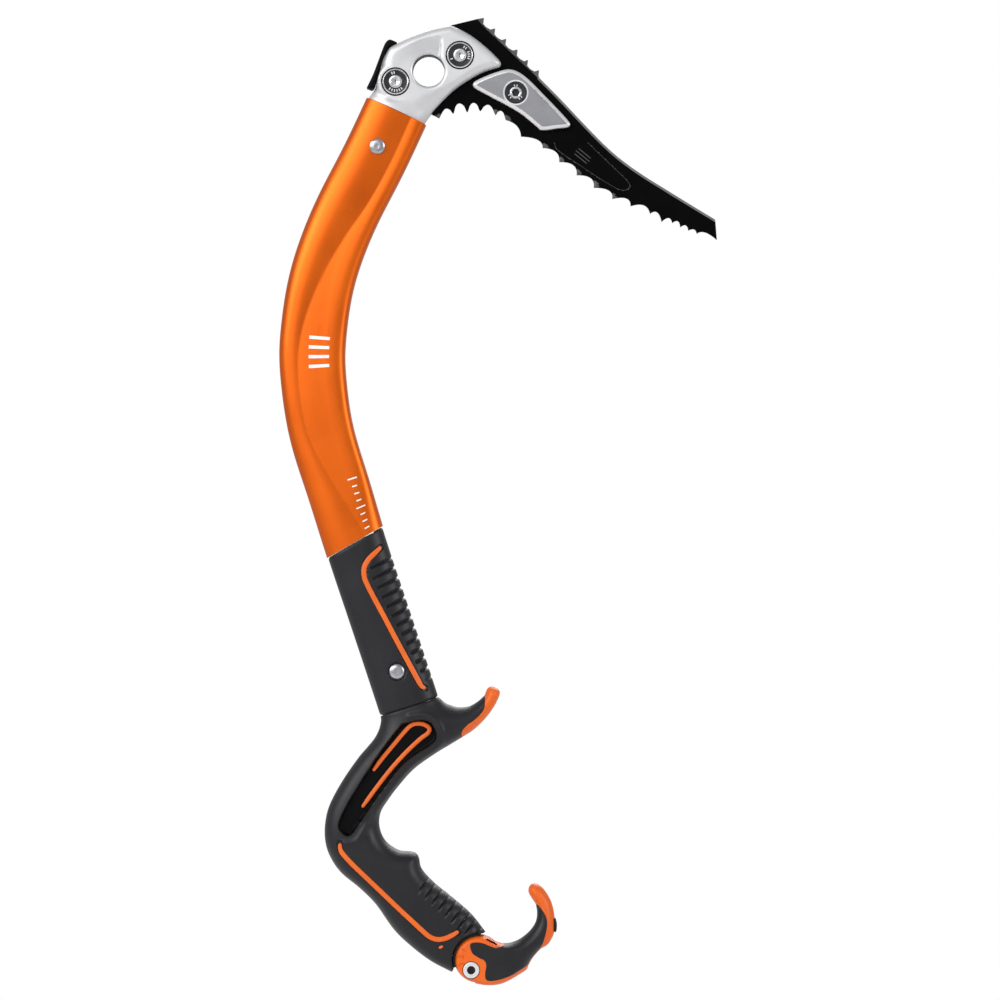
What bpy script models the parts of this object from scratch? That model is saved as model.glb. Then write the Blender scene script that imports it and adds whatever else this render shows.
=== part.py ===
"""Hooked ice axe: forged head with a bolted pick, bent tube shaft, upper grip and crook handle
with an adjustable pommel.  Metres, +Z up, +X towards the pick, the flat middle of the axe is y = 0.
The round eye in the head is at the world origin."""
import math

import bmesh
import bpy
import numpy as np
from mathutils import Vector
from mathutils.geometry import delaunay_2d_cdt

# ---------------------------------------------------------------- driving dimensions (metres)
TOOL_HEIGHT = 0.500        # top of the pick to the bottom of the pommel
DRAWN_HEIGHT = 0.500       # height the outlines below are drawn for
GAP = 0.0003               # clearance left between pieces that touch
SPIGOT_GAP = 0.0005        # clearance round a spigot in the bent tube
PICK_THICKNESS = 0.0040
HEAD_HALF_DEPTH = 0.0085   # head, from the middle plane to one cheek at the bolts
SHAFT_HALF_DEPTH = 0.0113
SHAFT_HALF_WIDTH = 0.0169
SHAFT_WALL = 0.0015
SLEEVE_WALL = 0.0016
GRIP_HALF_WIDTH = 0.01575
GRIP_HALF_DEPTH = 0.0118
HANDLE_HALF_DEPTH = 0.0128
CORE_HALF_DEPTH = 0.0050
POMMEL_HALF_DEPTH = 0.0100
TONGUE_HALF_DEPTH = 0.0030
TONGUE_RADIUS = 0.0106
POMMEL_DISC_RADIUS = 0.0124
POMMEL_SWING = math.radians(12.0)
EYE_RADIUS = 0.00825
BOLT_RADIUS = 0.0031
BOLT_HEAD_RADIUS = 0.0070
BOLT_HEAD_HEIGHT = 0.0026
BOLT_SEAT_DEPTH = 0.0008   # how far the flanges are let into the cheeks
BOLT_CHAMFER = 0.0008
BOLT_CROWN_RADIUS = 0.0030
BOLT_SOCKET_RADIUS = 0.0022
BOLT_END_GAP = 0.0003      # between a screw's end and its nut's collar
NUT_COLLAR = 0.0023
RIVET_RADIUS = 0.0025
RIVET_HEAD_RADIUS = 0.0042
RIVET_HEAD_HEIGHT = 0.0022
WEIGHT_THICKNESS = 0.0047
WEIGHT_SCREW_RADIUS = 0.0054
WEIGHT_SEAT_DEPTH = 0.0024
WEIGHT_NUT_COLLAR = 0.0017
WEIGHT_SOCKET_RADIUS = 0.0021
SCREW_EDGE = 0.0005        # bevel at the edge of a cap screw's head
CLAMP_SCREW_RADIUS = 0.0020
CLAMP_HEAD_RADIUS = 0.00415
CLAMP_SEAT_DEPTH = 0.0028
CLAMP_NUT_COLLAR = 0.0013
CLAMP_SOCKET_RADIUS = 0.0019
CLAMP_PROUD = 0.0001
INSERT_HALF_DEPTH = 0.0038
STRIP_HALF_DEPTH = 0.0068
SEAT_GAP = 0.0014          # between the pommel's disc and the handle's hollow end
SPACER_EAR = 0.0018
INLAY_WIDTH = 0.0027
INLAY_DEPTH = 0.0010
RIB_PITCH = 0.0057
RIB_HEIGHT = 0.0005
RIB_MARGIN_TOP = 0.014     # plain rubber above the first rib
RIB_MARGIN_LOW = 0.010
HEAD_EDGE = 0.45           # share of the full depth left at a rounded rim
HANDLE_EDGE = 0.38
POMMEL_EDGE = 0.42
SECTION_POWER = 2.6        # 2 would be an ellipse, higher is squarer

SIZE = 0.001 * TOOL_HEIGHT / DRAWN_HEIGHT   # drawn millimetres to metres
LEAN = math.radians(18.1)                   # lean of the shaft's lower end
FAR_OUT = 0.040                             # cutters run this far sideways
BEYOND = 0.080 * TOOL_HEIGHT / DRAWN_HEIGHT # cutters run this far past the head
SMOOTH_ANGLE = math.radians(35.0)           # flatter edges than this are shaded smooth

# ---------------------------------------------------------------- centres, drawn millimetres (x, z)
FRONT_BOLT = (16.15, 7.97)
REAR_BOLT = (-17.1, -5.7)
WEIGHT_SCREW = (45.0, -11.2)
HEAD_RIVET = (-26.4, -39.2)
HANDLE_RIVET = (-16.3, -309.9)
HANDLE_TOP = (-10.09, -328.16)
HINGE = (25.5, -458.6)
CLAMP_SCREW = (22.0, -463.9)
SEAM_REAR = (-31.1, -13.6)
SEAM_FRONT = (-2.3, -27.1)
SLOT_FLOOR = 5.4           # slot floor above the head's lower seam
SLOT_REACH = 20.0          # how far the slot's cutter passes the head's back
EAR_BAY = 38.5             # width of the bay for the strip's ears, from the cutter's back
EAR_BAY_RISE = 0.5         # the bay's floor above the slot's
SPIGOT_LENGTH = 0.032
SPIGOT_ROOT = 0.003
TUBE_SPIGOT_LENGTH = 0.034
GRIP_LENGTH = 0.0894
DRAWN_GRIP = (0.01575, 0.0894)   # half width and length the upper inlay is drawn for
GRIP_SKEW = 0.2226         # the grip's top edge is this much higher per unit towards the front
POCKET_FLOOR = 0.0096
POCKET_INLAY_HEIGHT = 0.0016
OPEN_TOP = 0.004           # groove cutters stand this far out of the surface
INDEX_FLOOR = 0.0022       # index recess below the pommel's full depth
PAD_FLOOR = 0.0060
NECK_HALF_WIDTH = 0.0055
NECK_REACH = 26.0          # drawn, from the hinge up into the core
NECK_ANGLE = math.radians(131.6)


# ---------------------------------------------------------------- outlines
def drawn(rows):
    """World x, z in metres from drawn millimetres."""
    return np.array(rows, float) * SIZE


def leaned(rows):
    """World x, z from millimetres drawn square to the shaft's lower end, zero at its seam."""
    side, up = np.array(rows, float).T
    x = HANDLE_TOP[0] + side * math.cos(LEAN) - up * math.sin(LEAN)
    z = HANDLE_TOP[1] + side * math.sin(LEAN) + up * math.cos(LEAN)
    return np.column_stack([x, z]) * SIZE


def from_hinge(rows):
    """World x, z from millimetres drawn square to the handle, zero at the pommel's hinge."""
    side, up = np.array(rows, float).T
    x = HINGE[0] + side * math.cos(LEAN) - up * math.sin(LEAN)
    z = HINGE[1] + side * math.sin(LEAN) + up * math.cos(LEAN)
    return np.column_stack([x, z]) * SIZE


def curve_through(points, steps=8):
    """Smooth open curve that passes through every point."""
    ends = np.vstack([2 * points[0] - points[1], points, 2 * points[-1] - points[-2]])
    t = np.linspace(0.0, 1.0, steps, endpoint=False)[:, None]
    parts = []
    for a, b, c, d in zip(ends[:-3], ends[1:-2], ends[2:-1], ends[3:]):
        parts.append(0.5 * (2 * b + (c - a) * t + (2 * a - 5 * b + 4 * c - d) * t ** 2
                            + (3 * b - a - 3 * c + d) * t ** 3))
    return np.vstack(parts + [points[-1:]])


def even(curve, pitch):
    """The same curve with points about one pitch apart."""
    run = np.concatenate([[0.0], np.cumsum(np.hypot(*np.diff(curve, axis=0).T))])
    marks = np.linspace(0.0, run[-1], max(1, int(round(run[-1] / pitch))) + 1)
    return np.column_stack([np.interp(marks, run, curve[:, k]) for k in (0, 1)])


def smooth_run(points, pitch):
    return even(curve_through(points), pitch)


def ring(*runs):
    """Closed outline from runs that meet end to end, turned counter-clockwise."""
    return anticlockwise(np.vstack([run[:-1] for run in runs]))


def anticlockwise(outline):
    x, z = outline.T
    turning = float(np.sum(x * np.roll(z, -1) - np.roll(x, -1) * z))
    return outline if turning > 0 else outline[::-1]


def grown(outline, amount):
    """Outline moved outwards by the amount."""
    step = np.roll(outline, -1, axis=0) - outline
    step /= np.hypot(*step.T)[:, None]
    out = np.column_stack([step[:, 1], -step[:, 0]])
    both = out + np.roll(out, 1, axis=0)
    both /= np.maximum(np.sum(both * both, axis=1), 1.0)[:, None] / 2.0
    return outline + amount * both


def arc(centre, radius, start, stop, count):
    angles = np.linspace(start, stop, count)
    return np.column_stack([centre[0] + radius * np.cos(angles), centre[1] + radius * np.sin(angles)])


def circle(centre, radius, count=32):
    return arc(centre, radius, 0.0, 2 * math.pi, count + 1)[:-1]


# ---------------------------------------------------------------- solids
def clear_scene():
    for obj in list(bpy.data.objects):
        bpy.data.objects.remove(obj, do_unlink=True)


def material(name, colour, roughness, metallic):
    mat = bpy.data.materials.new(name)
    mat.use_nodes = True
    shader = mat.node_tree.nodes["Principled BSDF"]
    shader.inputs["Base Color"].default_value = (*colour, 1.0)
    shader.inputs["Roughness"].default_value = roughness
    shader.inputs["Metallic"].default_value = metallic
    return mat


def solid(name, verts, faces, mat, origin=(0.0, 0.0)):
    """Mesh object with outward faces, smooth but for its sharp edges; origin in the middle plane."""
    place = np.array([origin[0], 0.0, origin[1]])
    mesh = bpy.data.meshes.new(name)
    mesh.from_pydata([tuple(v) for v in np.asarray(verts) - place], [], [tuple(f) for f in faces])
    work = bmesh.new()
    work.from_mesh(mesh)
    bmesh.ops.recalc_face_normals(work, faces=work.faces)
    work.to_mesh(mesh)
    work.free()
    mesh.shade_smooth()
    mesh.set_sharp_from_angle(angle=SMOOTH_ANGLE)
    obj = bpy.data.objects.new(name, mesh)
    obj.location = place
    bpy.context.scene.collection.objects.link(obj)
    if mat is not None:
        mesh.materials.append(mat)
    return obj


def slab(name, outline, y_low, y_high, mat=None, origin=(0.0, 0.0)):
    """Plate with the given outline between two planes."""
    n = len(outline)
    low = np.column_stack([outline[:, 0], np.full(n, y_low), outline[:, 1]])
    high = np.column_stack([outline[:, 0], np.full(n, y_high), outline[:, 1]])
    faces = [list(range(n)), list(range(2 * n - 1, n - 1, -1))]
    faces += [(i, n + i, n + (i + 1) % n, (i + 1) % n) for i in range(n)]
    return solid(name, np.vstack([low, high]), faces, mat, origin)


def turned(name, centre, profile, mat=None, sides=32, origin=None):
    """Round body about a line along Y; the profile lists (radius, y) and starts and ends on the line."""
    angles = np.arange(sides) * 2 * math.pi / sides
    verts, faces, rows = [], [], []
    for radius, y in profile:
        if radius == 0.0:
            rows.append([len(verts)] * sides)
            verts.append((centre[0], y, centre[1]))
            continue
        rows.append(list(range(len(verts), len(verts) + sides)))
        verts += [(centre[0] + radius * math.cos(a), y, centre[1] + radius * math.sin(a)) for a in angles]
    for top, low in zip(rows[:-1], rows[1:]):
        for i in range(sides):
            j = (i + 1) % sides
            corners = list(dict.fromkeys([top[i], top[j], low[j], low[i]]))
            faces.append(corners)
    return solid(name, verts, faces, mat, centre if origin is None else origin)


def bored(name, centre, radius, y_low=-FAR_OUT, y_high=FAR_OUT, sides=32):
    """Round cutter along Y."""
    return slab(name, circle(centre, radius, sides), y_low, y_high)


def loft(name, rings, mat=None, tube=False, origin=(0.0, 0.0)):
    """Skin over rings of points; ends are capped, or joined to each other for a tube."""
    count = len(rings[0])
    verts = np.vstack(rings)
    faces = []
    last = len(rings) if tube else len(rings) - 1
    for k in range(last):
        here, there = k * count, ((k + 1) % len(rings)) * count
        faces += [(here + i, here + (i + 1) % count, there + (i + 1) % count, there + i)
                  for i in range(count)]
    if not tube:
        faces += [list(range(count))[::-1], [len(verts) - count + i for i in range(count)]]
    return solid(name, verts, faces, mat, origin)


def combine(target, tool, operation):
    """Boolean with a tool that stays in the file, hidden from renders."""
    tool.hide_render = True
    tool.display_type = "WIRE"
    modifier = target.modifiers.new(operation.lower() + "_" + tool.name, "BOOLEAN")
    modifier.operation = operation
    modifier.solver = "EXACT"
    modifier.object = tool
    return target


def cut(target, *tools):
    for tool in tools:
        combine(target, tool, "DIFFERENCE")
    return target


def add(target, *tools):
    for tool in tools:
        combine(target, tool, "UNION")
    return target


# ---------------------------------------------------------------- pillow shapes
def edge_distance(points, runs):
    """Shortest distance from each point to the runs."""
    best = np.full(len(points), 1.0)
    for run in runs:
        for a, b in zip(run[:-1], run[1:]):
            along = b - a
            t = np.clip(((points - a) @ along) / float(along @ along), 0.0, 1.0)
            best = np.minimum(best, np.hypot(*(points - (a + t[:, None] * along)).T))
    return best


def inside(points, outline):
    """True for points inside the outline."""
    x, z = points.T
    hit = np.zeros(len(points), bool)
    for (ax, az), (bx, bz) in zip(outline, np.roll(outline, -1, axis=0)):
        if az == bz:
            continue
        crosses = (az > z) != (bz > z)
        hit ^= crosses & (x < (bx - ax) * (z - az) / (bz - az) + ax)
    return hit


def pillow_depth(points, rounded, half, radius, edge):
    """Half depth: full in the middle, falling along a quarter ellipse to the edge share at the rim."""
    share = np.clip(edge_distance(points, rounded) / radius(points), 0.0, 1.0)
    return half(points) * (edge + (1.0 - edge) * np.sqrt(1.0 - (1.0 - share) ** 2))


def spread(points, least):
    """Drops points nearer than the least distance to one already kept."""
    kept = []
    for p in points:
        if not kept or np.min(np.hypot(*(np.array(kept) - p).T)) > least:
            kept.append(p)
    return np.array(kept)


def pillow(name, walk, half, radius, edge, pitch, mat=None, origin=(0.0, 0.0)):
    """Body whose two faces swell from a rounded rim.

    The walk lists (run, is_rounded) pairs in order round the outline; a run that is not rounded keeps
    the full depth right up to the edge."""
    outline = ring(*[run for run, _ in walk])
    rounded = [run for run, is_rounded in walk if is_rounded]
    step = np.roll(outline, -1, axis=0) - np.roll(outline, 1, axis=0)
    inward = np.column_stack([-step[:, 1], step[:, 0]]) / np.hypot(*step.T)[:, None]
    rows = []
    for share in (0.12, 0.42, 1.0):
        depth = share * radius(outline)
        row = outline + inward * depth[:, None]
        rows.append(row[edge_distance(row, rounded) > 0.93 * depth])
    low, high = outline.min(axis=0), outline.max(axis=0)
    gx, gz = np.meshgrid(np.arange(low[0], high[0], 1.5 * pitch), np.arange(low[1], high[1], 1.5 * pitch))
    field = np.column_stack([gx.ravel(), gz.ravel()])
    rows.append(field[edge_distance(field, rounded) > 1.25 * radius(field)])
    inner = np.vstack(rows)
    closed = np.vstack([outline, outline[:1]])
    inner = inner[inside(inner, outline) & (edge_distance(inner, [closed]) > 0.0003)]
    inner = spread(inner, 0.35 * pitch)
    points = np.vstack([outline, inner])
    n = len(outline)
    edges = [(i, (i + 1) % n) for i in range(n)]
    found, _, tris, *_ = delaunay_2d_cdt([Vector(p) for p in points], edges, [], 0, 1e-7)
    flat_points = np.array([tuple(p) for p in found])
    tris = np.array([tuple(t) for t in tris])
    tris = tris[inside(flat_points[tris].mean(axis=1), outline)]
    depth = pillow_depth(flat_points, rounded, half, radius, edge)
    count = len(flat_points)
    near = np.column_stack([flat_points[:, 0], -depth, flat_points[:, 1]])
    far = np.column_stack([flat_points[:, 0], depth, flat_points[:, 1]])
    faces = [tuple(t) for t in tris] + [tuple(t[::-1] + count) for t in tris]
    used = {}
    for t in tris:
        for a, b in ((t[0], t[1]), (t[1], t[2]), (t[2], t[0])):
            used[(a, b)] = used.get((a, b), 0) + 1
    faces += [(b, a, a + count, b + count) for (a, b) in used if (b, a) not in used]
    verts = np.vstack([near, far])
    return solid(name, verts, faces, mat, origin)


def constant(value):
    return lambda points: np.full(len(points), value)


# ---------------------------------------------------------------- shaft line
def shaft_line():
    """Middle line of the tube from the head's seam to the handle's seam, one point per millimetre."""
    top = (np.array(SEAM_REAR) + np.array(SEAM_FRONT)) / 2
    seam = np.array(SEAM_FRONT) - np.array(SEAM_REAR)
    rise = np.array([-seam[1], seam[0]]) / np.hypot(*seam)
    low = np.array(HANDLE_TOP)
    lean = np.array([-math.sin(LEAN), math.cos(LEAN)])
    between = [(-44.4, -76.6), (-55.5, -107.7), (-60.1, -138.7), (-60.2, -154.2), (-56.0, -185.3),
               (-46.4, -216.4), (-36.9, -247.4), (-26.5, -278.5)]
    stations = np.vstack([top + 28 * rise, top, top - 28 * rise, between,
                          low + 19.2 * lean, low, low - 19.2 * lean])
    line = curve_through(stations * SIZE, 40)[40:-40]
    return even(line, 0.001)


LINE = shaft_line()
LINE_RUN = np.concatenate([[0.0], np.cumsum(np.hypot(*np.diff(LINE, axis=0).T))])
LINE_LENGTH = float(LINE_RUN[-1])
LINE_AIM = np.gradient(LINE, axis=0)
LINE_AIM /= np.hypot(*LINE_AIM.T)[:, None]


def station(run):
    """Middle point, downward aim and frontward normal of the tube at a length from its top."""
    middle = np.array([np.interp(run, LINE_RUN, LINE[:, k]) for k in (0, 1)])
    aim = np.array([np.interp(run, LINE_RUN, LINE_AIM[:, k]) for k in (0, 1)])
    aim /= np.hypot(*aim)
    return middle, aim, np.array([-aim[1], aim[0]])


def section(half_width, half_depth, count=22):
    """Squared-off ellipse as (frontward, sideways) points."""
    angles = (np.arange(count) + 0.5) * 2 * math.pi / count
    c, s = np.cos(angles), np.sin(angles)
    power = 2.0 / SECTION_POWER
    return np.column_stack([half_width * np.sign(c) * np.abs(c) ** power,
                            half_depth * np.sign(s) * np.abs(s) ** power])


def tube_ring(run, half_width, half_depth, skew=0.0, rib=0.0):
    """Section set across the tube's line; skew tips it, rib swells only its front."""
    middle, aim, front = station(run)
    shape = section(half_width, half_depth)
    swell = rib * np.clip(shape[:, 0] / half_width, 0.0, 1.0) ** 2
    across = shape[:, 0] + swell
    place = middle + across[:, None] * front - (skew * across)[:, None] * aim
    return np.column_stack([place[:, 0], shape[:, 1], place[:, 1]])


def shaft_half_width(run):
    """Slightly wider in the bend, slimmer towards the grip."""
    share = run / LINE_LENGTH
    return SHAFT_HALF_WIDTH * np.interp(share, [0.0, 0.4, 0.74], [1.0, 1.012, 0.96])


def grip_depth(points):
    """Half depth of the upper grip's surface at world x, z points."""
    reach = points[:, None, :] - LINE[None, :, :]
    nearest = np.argmin(np.sum(reach ** 2, axis=2), axis=1)
    across = np.hypot(*(points - LINE[nearest]).T) / GRIP_HALF_WIDTH
    share = np.clip(1.0 - across ** SECTION_POWER, 0.02, 1.0)
    return GRIP_HALF_DEPTH * share ** (1.0 / SECTION_POWER)


# ---------------------------------------------------------------- head, pick and their fasteners
def head_axes():
    seam = np.array(SEAM_FRONT) - np.array(SEAM_REAR)
    along = seam / np.hypot(*seam)
    return along, np.array([-along[1], along[0]])


def head_half(points):
    """Cheeks widen below the bolts until they are as deep as the tube."""
    along, rise = head_axes()
    height = (points - drawn([SEAM_REAR])[0]) @ rise
    return np.interp(height / SIZE, [0.0, 18.0], [SHAFT_HALF_DEPTH, HEAD_HALF_DEPTH])


def head_radius(points):
    along, rise = head_axes()
    height = (points - drawn([SEAM_REAR])[0]) @ rise
    return np.interp(height / SIZE, [0.0, 14.0, 30.0], [0.0120, 0.0060, 0.0035])


def slot_outline(width, floor):
    """Four corners of a slot as wide as given, from its floor's height above the seam past the head."""
    along, rise = head_axes()
    back = drawn([SEAM_REAR])[0] + floor * SIZE * rise - SLOT_REACH * SIZE * along
    return np.array([back + along * width, back + along * width + rise * BEYOND,
                     back + rise * BEYOND, back])


def head_body(mat):
    """Forged body with two bolt cheeks, rounded everywhere but at the tube's seam."""
    rim = smooth_run(drawn([SEAM_FRONT, (1.9, -21.3), (6.1, -16.5), (10.9, -11.7), (16.1, -7.5),
                            (21.9, -3.8), (27.7, -0.7), (33.1, 1.2), (36.5, 2.2), (37.0, 4.6),
                            (34.6, 7.8), (29.3, 12.8), (22.5, 18.1), (15.6, 22.0), (11.1, 23.7)]),
                     0.0034)
    back = smooth_run(drawn([(11.1, 23.7), (1.3, 21.5), (-9.2, 17.8), (-16.4, 14.4), (-19.8, 12.5),
                             (-21.6, 9.9), (-23.4, 5.7), (-25.6, -1.7), (-27.7, -8.6),
                             SEAM_REAR]), 0.0038)
    seam = even(drawn([SEAM_REAR, SEAM_FRONT]), 0.0040)
    walk = [(rim, True), (back, True), (seam, False)]
    return pillow("head", walk, head_half, head_radius, HEAD_EDGE, 0.0042, mat)


def head_spigot():
    """Plug that fills the tube's top, with a short root sunk into the head."""
    rise = head_axes()[1]
    width = SHAFT_HALF_WIDTH - SHAFT_WALL - SPIGOT_GAP
    depth = SHAFT_HALF_DEPTH - SHAFT_WALL - SPIGOT_GAP
    rings = []
    for run in np.linspace(-SPIGOT_ROOT, SPIGOT_LENGTH, 8):
        above = max(-run, 0.0)
        rings.append(tube_ring(max(run, 0.0), width, depth) + above * np.array([rise[0], 0.0, rise[1]]))
    return loft("spigot_of_head", rings)


def make_head(mat):
    """Body and spigot, cut for the pick, the strip's ears, the eye, both bolts and the rivet."""
    head = add(head_body(mat), head_spigot())
    middle = PICK_THICKNESS / 2 + GAP
    ears = middle + SPACER_EAR + GAP
    bay = slot_outline(EAR_BAY * SIZE, SLOT_FLOOR + EAR_BAY_RISE)
    cut(head, slab("slot_of_head", slot_outline(BEYOND, SLOT_FLOOR), -middle, middle),
        slab("ear_bay_of_head", bay, -ears, ears),
        bored("eye_of_head", (0.0, 0.0), EYE_RADIUS, sides=40))
    seat = HEAD_HALF_DEPTH - BOLT_SEAT_DEPTH
    for name, centre in (("front", FRONT_BOLT), ("rear", REAR_BOLT)):
        spot = tuple(drawn([centre])[0])
        cut(head, bored(name + "_bolt_bore", spot, BOLT_RADIUS + GAP),
            bored(name + "_near_seat", spot, BOLT_HEAD_RADIUS + GAP, -FAR_OUT, -seat),
            bored(name + "_far_seat", spot, BOLT_HEAD_RADIUS + GAP, seat, FAR_OUT))
    return cut(head, bored("head_rivet_bore", tuple(drawn([HEAD_RIVET])[0]), RIVET_RADIUS + GAP))


def pick_outline():
    """Toothed outline of the pick; the shank hidden in the head follows the slot floor."""
    top = drawn([(11.1, 23.9), (25.1, 27.3), (28.6, 27.9), (28.4, 22.4), (34.3, 22.4), (34.1, 17.1),
                 (40.1, 17.1), (39.7, 11.4), (46.0, 11.4), (45.6, 6.1), (51.3, 6.1), (51.0, 0.8),
                 (57.1, 0.8), (57.0, -2.9)])
    ridge = smooth_run(drawn([(57.0, -2.9), (68.4, -14.5), (80.1, -26.9), (90.8, -37.8), (99.6, -45.5),
                              (110.5, -53.3), (123.0, -61.1), (135.5, -68.8), (148.2, -76.5)]), 0.006)
    tip = drawn([(148.2, -76.5), (149.0, -86.9), (142.6, -82.1)])
    teeth = [(142.6, -82.1), (138.7, -83.8), (137.6, -80.9), (134.3, -82.1), (133.3, -78.6),
             (130.1, -80.4), (129.3, -76.4), (126.0, -78.2), (124.5, -74.6), (120.5, -77.6),
             (118.5, -71.5), (114.5, -73.4), (112.0, -68.0), (104.4, -69.5), (103.4, -64.6),
             (94.9, -65.7), (94.4, -60.7), (85.3, -59.9), (84.9, -54.2), (76.5, -53.4),
             (75.8, -47.4), (67.5, -46.6), (66.7, -40.6), (58.9, -39.3), (57.6, -34.6),
             (47.7, -33.4), (46.3, -27.4), (39.8, -24.8)]
    near_head = [(37.1, -20.2), (34.5, -22.2), (30.5, -16.9), (26.6, -20.2), (23.0, -15.9),
                 (19.9, -20.8), (16.0, -16.2), (12.7, -21.5), (8.7, -19.5), (5.4, -24.0)]
    along, rise = head_axes()
    corner = drawn([SEAM_REAR])[0] + (SLOT_FLOOR * SIZE + GAP) * rise
    steps = np.array([(40.5, 0.0), (6.5, 0.0), (4.8, 4.0), (6.0, 15.5)]) * SIZE
    shank = corner + steps[:, :1] * along + steps[:, 1:] * rise
    return np.vstack([top[:-1], ridge[:-1], tip[:-1], drawn(teeth), drawn(near_head), shank,
                      drawn([(-13.0, 13.2), (-6.0, 17.6)])])


def make_pick(mat):
    pick = slab("pick", anticlockwise(pick_outline()), -PICK_THICKNESS / 2, PICK_THICKNESS / 2, mat)
    cut(pick, bored("eye_of_pick", (0.0, 0.0), EYE_RADIUS + GAP, sides=40),
        bored("front_bore_of_pick", tuple(drawn([FRONT_BOLT])[0]), BOLT_RADIUS + GAP, sides=20),
        bored("rear_bore_of_pick", tuple(drawn([REAR_BOLT])[0]), BOLT_RADIUS + GAP, sides=20),
        bored("weight_bore_of_pick", tuple(drawn([WEIGHT_SCREW])[0]), BOLT_RADIUS + GAP, sides=20))
    return pick


def make_rear_spacer(mat):
    """Black strip closing the slot's back, with two ears held by the rear bolt."""
    outer = smooth_run(drawn([(-17.2, 14.6), (-20.3, 16.3), (-22.7, 13.9), (-25.1, 7.8), (-28.7, -1.7),
                              (-32.0, -8.6)]), 0.003)
    inner = smooth_run(drawn([(-32.0, -8.6), (-28.2, -8.4), (-26.1, -1.7), (-23.9, 5.9), (-22.1, 10.2),
                              (-20.3, 12.9), (-17.2, 14.6)]), 0.003)
    strip = ring(outer, inner)
    spacer = slab("rear_spacer", strip, -STRIP_HALF_DEPTH, STRIP_HALF_DEPTH, mat)
    middle = PICK_THICKNESS / 2 + GAP
    ear = ring(drawn([(-29.4, -4.0), (-23.5, -8.4), (-17.1, -11.8), (-10.6, -7.5), (-11.6, -1.0),
                      (-17.0, 1.2), (-24.6, 7.0), (-29.4, -4.0)]))
    for side, low in (("near", -middle - SPACER_EAR), ("far", middle)):
        add(spacer, slab("ear_" + side, ear, low, low + SPACER_EAR))
    cut(spacer, bored("rear_bore_of_spacer", tuple(drawn([REAR_BOLT])[0]), BOLT_RADIUS + GAP, sides=20))
    return spacer


def hexagon(centre, radius):
    return circle(centre, radius, 6)


def flange(seat):
    """Profile of a chamfered flange from its crown out and back to its seat."""
    top = seat + BOLT_HEAD_HEIGHT
    return [(BOLT_CROWN_RADIUS, top), (BOLT_HEAD_RADIUS - BOLT_CHAMFER, top - 0.75 * BOLT_CHAMFER),
            (BOLT_HEAD_RADIUS, top - 2 * BOLT_CHAMFER), (BOLT_HEAD_RADIUS, seat)]


def make_head_bolt(name, centre, steel):
    """Flanged bolt from the near cheek, with a six-sided socket."""
    spot = tuple(drawn([centre])[0])
    seat = HEAD_HALF_DEPTH - BOLT_SEAT_DEPTH + GAP
    top = seat + BOLT_HEAD_HEIGHT
    end = seat - NUT_COLLAR - BOLT_END_GAP
    profile = [(0.0, -top)] + [(radius, -y) for radius, y in flange(seat)]
    bolt = turned(name, spot, profile + [(BOLT_RADIUS, -seat), (BOLT_RADIUS, end), (0.0, end)], steel)
    floor = -top + 0.7 * BOLT_HEAD_HEIGHT
    return cut(bolt, slab(name + "_socket", hexagon(spot, BOLT_SOCKET_RADIUS), -FAR_OUT, floor))


def make_head_nut(name, centre, steel):
    """Flanged nut in the far cheek; its collar reaches in to the bolt's end."""
    spot = tuple(drawn([centre])[0])
    seat = HEAD_HALF_DEPTH - BOLT_SEAT_DEPTH + GAP
    start = seat - NUT_COLLAR
    profile = [(0.0, start), (BOLT_RADIUS, start), (BOLT_RADIUS, seat), *flange(seat)[::-1],
               (0.0, seat + BOLT_HEAD_HEIGHT)]
    return turned(name, spot, profile, steel)


def make_weight(name, side, mat):
    """Plate on one side of the pick with a seat for the screw or its nut."""
    rows = [(22.7, -7.2), (24.0, -5.3), (29.6, -2.6), (35.9, -0.3), (41.6, 0.9), (47.0, -0.9),
            (52.3, -5.0), (58.6, -11.4), (65.5, -18.5), (71.3, -24.8), (73.1, -27.5), (71.6, -29.0),
            (66.5, -29.6), (58.6, -30.4), (55.6, -28.4), (48.0, -22.2), (39.6, -17.2), (32.2, -13.3),
            (24.3, -9.0), (22.7, -7.2)]
    outline = ring(even(drawn(rows), 0.0035))
    inner, outer = PICK_THICKNESS / 2 + GAP, PICK_THICKNESS / 2 + GAP + WEIGHT_THICKNESS
    low, high = (-outer, -inner) if side < 0 else (inner, outer)
    weight = slab(name, outline, low, high, mat)
    spot = tuple(drawn([WEIGHT_SCREW])[0])
    seat = outer - WEIGHT_SEAT_DEPTH
    ends = (-FAR_OUT, -seat) if side < 0 else (seat, FAR_OUT)
    cut(weight, bored(name + "_bore", spot, BOLT_RADIUS + GAP, sides=20),
        bored(name + "_seat", spot, WEIGHT_SCREW_RADIUS + GAP, *ends))
    return weight


def cap(radius, edge, seat, top):
    """Profile of a round head with a small bevel, from its face back to its seat."""
    return [(radius - edge, top), (radius, top - edge), (radius, seat)]


def make_weight_screw(steel):
    spot = tuple(drawn([WEIGHT_SCREW])[0])
    top = PICK_THICKNESS / 2 + GAP + WEIGHT_THICKNESS
    seat = top - WEIGHT_SEAT_DEPTH + GAP
    end = seat - WEIGHT_NUT_COLLAR - BOLT_END_GAP
    head = [(radius, -y) for radius, y in cap(WEIGHT_SCREW_RADIUS, SCREW_EDGE, seat, top)]
    profile = [(0.0, -top), *head, (BOLT_RADIUS, -seat), (BOLT_RADIUS, end), (0.0, end)]
    screw = turned("weight_screw", spot, profile, steel)
    floor = -top + 0.6 * WEIGHT_SEAT_DEPTH
    return cut(screw, slab("weight_screw_socket", hexagon(spot, WEIGHT_SOCKET_RADIUS), -FAR_OUT, floor))


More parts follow.
